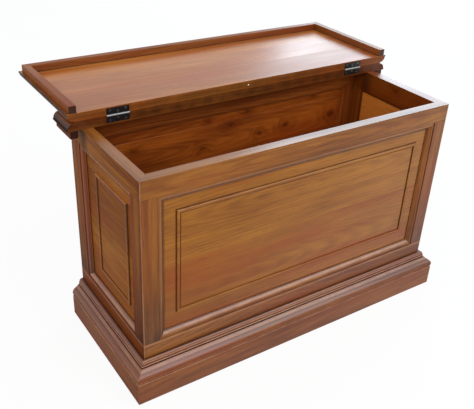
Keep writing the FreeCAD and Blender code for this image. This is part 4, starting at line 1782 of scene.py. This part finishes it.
        def outer(edge: bmesh.types.BMEdge) -> bool:
            """Tell whether an edge is an outer corner of the leaf.

            Args:
                edge: The edge.

            Returns:
                Whether it is.
            """
            first, second = (vertex.co for vertex in edge.verts)
            at_end = all(abs(v.z - end) < TOUCH and min(abs(v.x - low.x), abs(v.x - high.x)) < TOUCH
                         for v in (first, second))
            return at_end and abs(first.y - second.y) > MM

        choose(piece, "FACE", rolled)
        crank = axis.y + self.barrel - self.iron - front
        bpy.ops.mesh.extrude_region_move(
            TRANSFORM_OT_translate={"value": (0, crank, axis.z - start)})
        bpy.ops.mesh.spin(steps=self.roll_steps, angle=self.roll, center=axis, axis=(sign, 0, 0))
        choose(piece, "EDGE", outer)
        bpy.ops.mesh.bevel(offset=self.corner, segments=3, affect="EDGES")
        bpy.ops.mesh.select_all(action="SELECT")
        bpy.ops.mesh.remove_doubles(threshold=TOUCH / 10)
        bpy.ops.mesh.normals_make_consistent(inside=False)
        let_go()
        for spot in screws:
            carve(piece, rod("countersink", spot - Vector((0, self.overrun, 0)),
                             spot + Vector((0, self.iron + self.overrun, 0)),
                             self.head + self.head_play, self.shank + self.shank_play))
        soften(piece, self.edge)
        material = HINGE_IRON.material(node, (axis.y, axis.z, self.barrel - self.bright))
        shop.deliver(piece, body, HINGE_IRON, material, node)

    def screw(self) -> bpy.types.Object:
        """Model a countersunk screw at the origin, with a cross recess and a tapered point.

        Returns:
            The screw.
        """
        piece = rod("screw", Vector((0, 0, 0)), Vector((0, self.sink, 0)), self.head, self.shank)
        edit_all(piece)
        choose(piece, "FACE", lambda face: face.normal.y > 0.99)
        for share in (1 - self.point_share, self.point_share):
            bpy.ops.mesh.extrude_region_move(TRANSFORM_OT_translate={
                "value": (0, share * (self.screw_length - self.sink), 0)})
        bpy.ops.transform.resize(value=(self.point_scale, 1.0, self.point_scale),
                                 center_override=(0, self.screw_length, 0))
        choose(piece, "FACE", lambda face: face.normal.y < -0.99)
        bpy.ops.mesh.inset(thickness=self.recess_rim)
        bpy.ops.transform.translate(value=(0, -self.crown, 0))
        let_go()
        length, width, depth = self.recess
        carve(piece, *(block("recess", (-x, -self.sink, -z), (x, depth, z))
                       for x, z in ((length, width), (width, length))))
        return piece

    def pin(self, shop: Workshop, side: Side) -> None:
        """Make a pin with a domed head at each end.

        Args:
            shop: The workshop.
            side: The hinge's side.
        """
        node = f"{side.word}_hinge_pin"
        low, high = (Vector(point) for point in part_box(node))
        axis = self.axis(side)
        radius = (high.z - low.z) / 2
        piece = rod(f"{node}_dressed", Vector((low.x, axis.y, axis.z)),
                    Vector((high.x, axis.y, axis.z)), radius, sides=24)
        steps = ((self.overrun / 2, self.pin_head / radius), *self.pin_crown)
        for end, way in ((low.x, -1), (high.x, 1)):
            edit_all(piece)
            choose(piece, "FACE", lambda face: face.normal.x * way > 0.99)
            for reach, scale in steps:
                bpy.ops.mesh.extrude_region_move(
                    TRANSFORM_OT_translate={"value": (way * reach, 0, 0)})
                bpy.ops.transform.resize(value=(1.0, scale, scale),
                                         center_override=(end, axis.y, axis.z))
        let_go()
        shop.deliver(piece, "chest", PIN_STEEL, PIN_STEEL.material(node), node)


@dataclass(frozen=True)
class Lamp:
    """A soft oblong lamp that faces the chest.

    Attributes:
        name: Its name.
        spot: Its place.
        size: Its width and height.
        power: Its power in watts.
        colour: The colour of its light.
        target: The place that it faces.
    """

    name: str
    spot: Point
    size: tuple[float, float]
    power: float
    colour: Point
    target: Point = (0.0, -0.1, 0.4)

    def hang(self) -> None:
        """Add the lamp to the scene."""
        data = bpy.data.lights.new(self.name, "AREA")
        data.shape = "RECTANGLE"
        data.size, data.size_y = self.size
        data.energy = self.power
        data.color = self.colour
        lamp = bpy.data.objects.new(self.name, data)
        lamp.location = self.spot
        away = Vector(self.spot) - Vector(self.target)
        lamp.rotation_euler = away.to_track_quat("Z", "Y").to_euler()
        bpy.context.scene.collection.objects.link(lamp)


@dataclass
class Studio:
    """Camera, lamps, world and floor.

    Attributes:
        eye: The camera's place.
        yaw: Its direction, from +Y towards +X.
        pitch: How far it looks down.
        roll: How far it leans.
        lens: Focal length in millimetres on a 36 mm wide sensor.
        daylight: Strength of the world's light on the object.
        floor_size: Width of the floor.
        floor_grey: Colour of the floor.
        floor_white: Share of plain white in it, where it is seen or mirrored.
        lamps: The lamps.
    """

    eye: Point = (-1.0792, -1.5309, 1.3576)
    yaw: float = 0.6089
    pitch: float = 0.5257
    roll: float = 0.0518
    lens: float = 52.25
    daylight: float = 0.56
    floor_size: float = 30.0
    floor_grey: Colour = (0.86, 0.86, 0.86, 1.0)
    floor_white: float = 0.92
    lamps: tuple[Lamp, ...] = (
        Lamp("front_softbox", (3.3, -5.15, 5.5), (6.3, 7.0), 365.0, (0.83, 0.93, 1.0)),
        Lamp("left_softbox", (-3.0, -2.8, 3.2), (3.4, 3.4), 95.0, (1.0, 0.95, 0.88)),
        Lamp("rear_softbox", (4.9, 3.34, 3.1), (3.8, 2.6), 145.0, (0.69, 0.87, 1.0)))

    def build(self) -> None:
        """Set up the scene round the chest."""
        self.camera()
        self.world()
        self.floor()
        for lamp in self.lamps:
            lamp.hang()
        bpy.context.scene.view_settings.view_transform = "Standard"

    def camera(self) -> None:
        """Place the camera at the photograph's viewing angle."""
        data = bpy.data.cameras.new("camera")
        data.lens = self.lens
        eye = bpy.data.objects.new("camera", data)
        ahead = Vector((math.sin(self.yaw) * math.cos(self.pitch),
                        math.cos(self.yaw) * math.cos(self.pitch), -math.sin(self.pitch)))
        right = ahead.cross(Vector((0, 0, 1))).normalized()
        above = right.cross(ahead)
        lean = Matrix.Rotation(-self.roll, 3, ahead)
        axes = Matrix((lean @ right, lean @ above, -ahead)).transposed()
        eye.matrix_world = Matrix.Translation(self.eye) @ axes.to_4x4()
        bpy.context.scene.collection.objects.link(eye)
        bpy.context.scene.camera = eye

    def world(self) -> None:
        """Make the world white where it is seen or mirrored, and plain daylight on the object."""
        world = bpy.data.worlds.new("studio")
        bpy.context.scene.world = world
        world.use_nodes = True
        nodes, links = world.node_tree.nodes, world.node_tree.links
        path = nodes.new("ShaderNodeLightPath").outputs
        seen: bpy.types.NodeSocket = path["Is Camera Ray"]
        for ray in ("Is Glossy Ray", "Is Transmission Ray"):
            either = nodes.new("ShaderNodeMath")
            either.operation = "MAXIMUM"
            links.new(seen, either.inputs[0])
            links.new(path[ray], either.inputs[1])
            seen = either.outputs[0]
        strength = nodes.new("ShaderNodeMapRange")
        strength.inputs["To Min"].default_value = self.daylight
        links.new(seen, strength.inputs["Value"])
        background = nodes["Background"]
        background.inputs["Color"].default_value = (1.0, 1.0, 1.0, 1.0)
        links.new(strength.outputs[0], background.inputs["Strength"])

    def floor(self) -> None:
        """Lay a plain pale floor that keeps the object's shadow."""
        let_go()
        bpy.ops.mesh.primitive_plane_add(size=self.floor_size)
        floor = bpy.context.object
        floor.name = "studio_floor"
        sheet = ShaderSheet("studio_floor")
        matt = sheet.add("BsdfDiffuse", {"Color": self.floor_grey})
        white = sheet.add("Emission", {"Color": (1.0, 1.0, 1.0, 1.0), "Strength": 1.0})
        path = sheet.add("LightPath").outputs
        seen = sheet.largest(path[ray] for ray in ("Is Camera Ray", "Is Glossy Ray",
                                                   "Is Transmission Ray"))
        share = sheet.maths("MULTIPLY", seen, self.floor_white)
        both = sheet.add("MixShader", {0: share, 1: matt.outputs[0], 2: white.outputs[0]})
        floor.data.materials.append(sheet.finish(both.outputs[0]))


def main() -> None:
    """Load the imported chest, dress it, and set up the studio."""
    logging.basicConfig(level=logging.INFO, format="%(name)s: %(message)s")
    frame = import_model()
    Studio().build()
    shop = Workshop(frame["nodes"])
    for part in (Walls(), Bottom(), Plinth(), RearStrip(), Lid(), Hinges()):
        LOG.info("building %s", type(part).__name__)
        part.build(shop)
    LOG.info("%d pieces", shop.made)


if __name__ == "__main__":
    main()
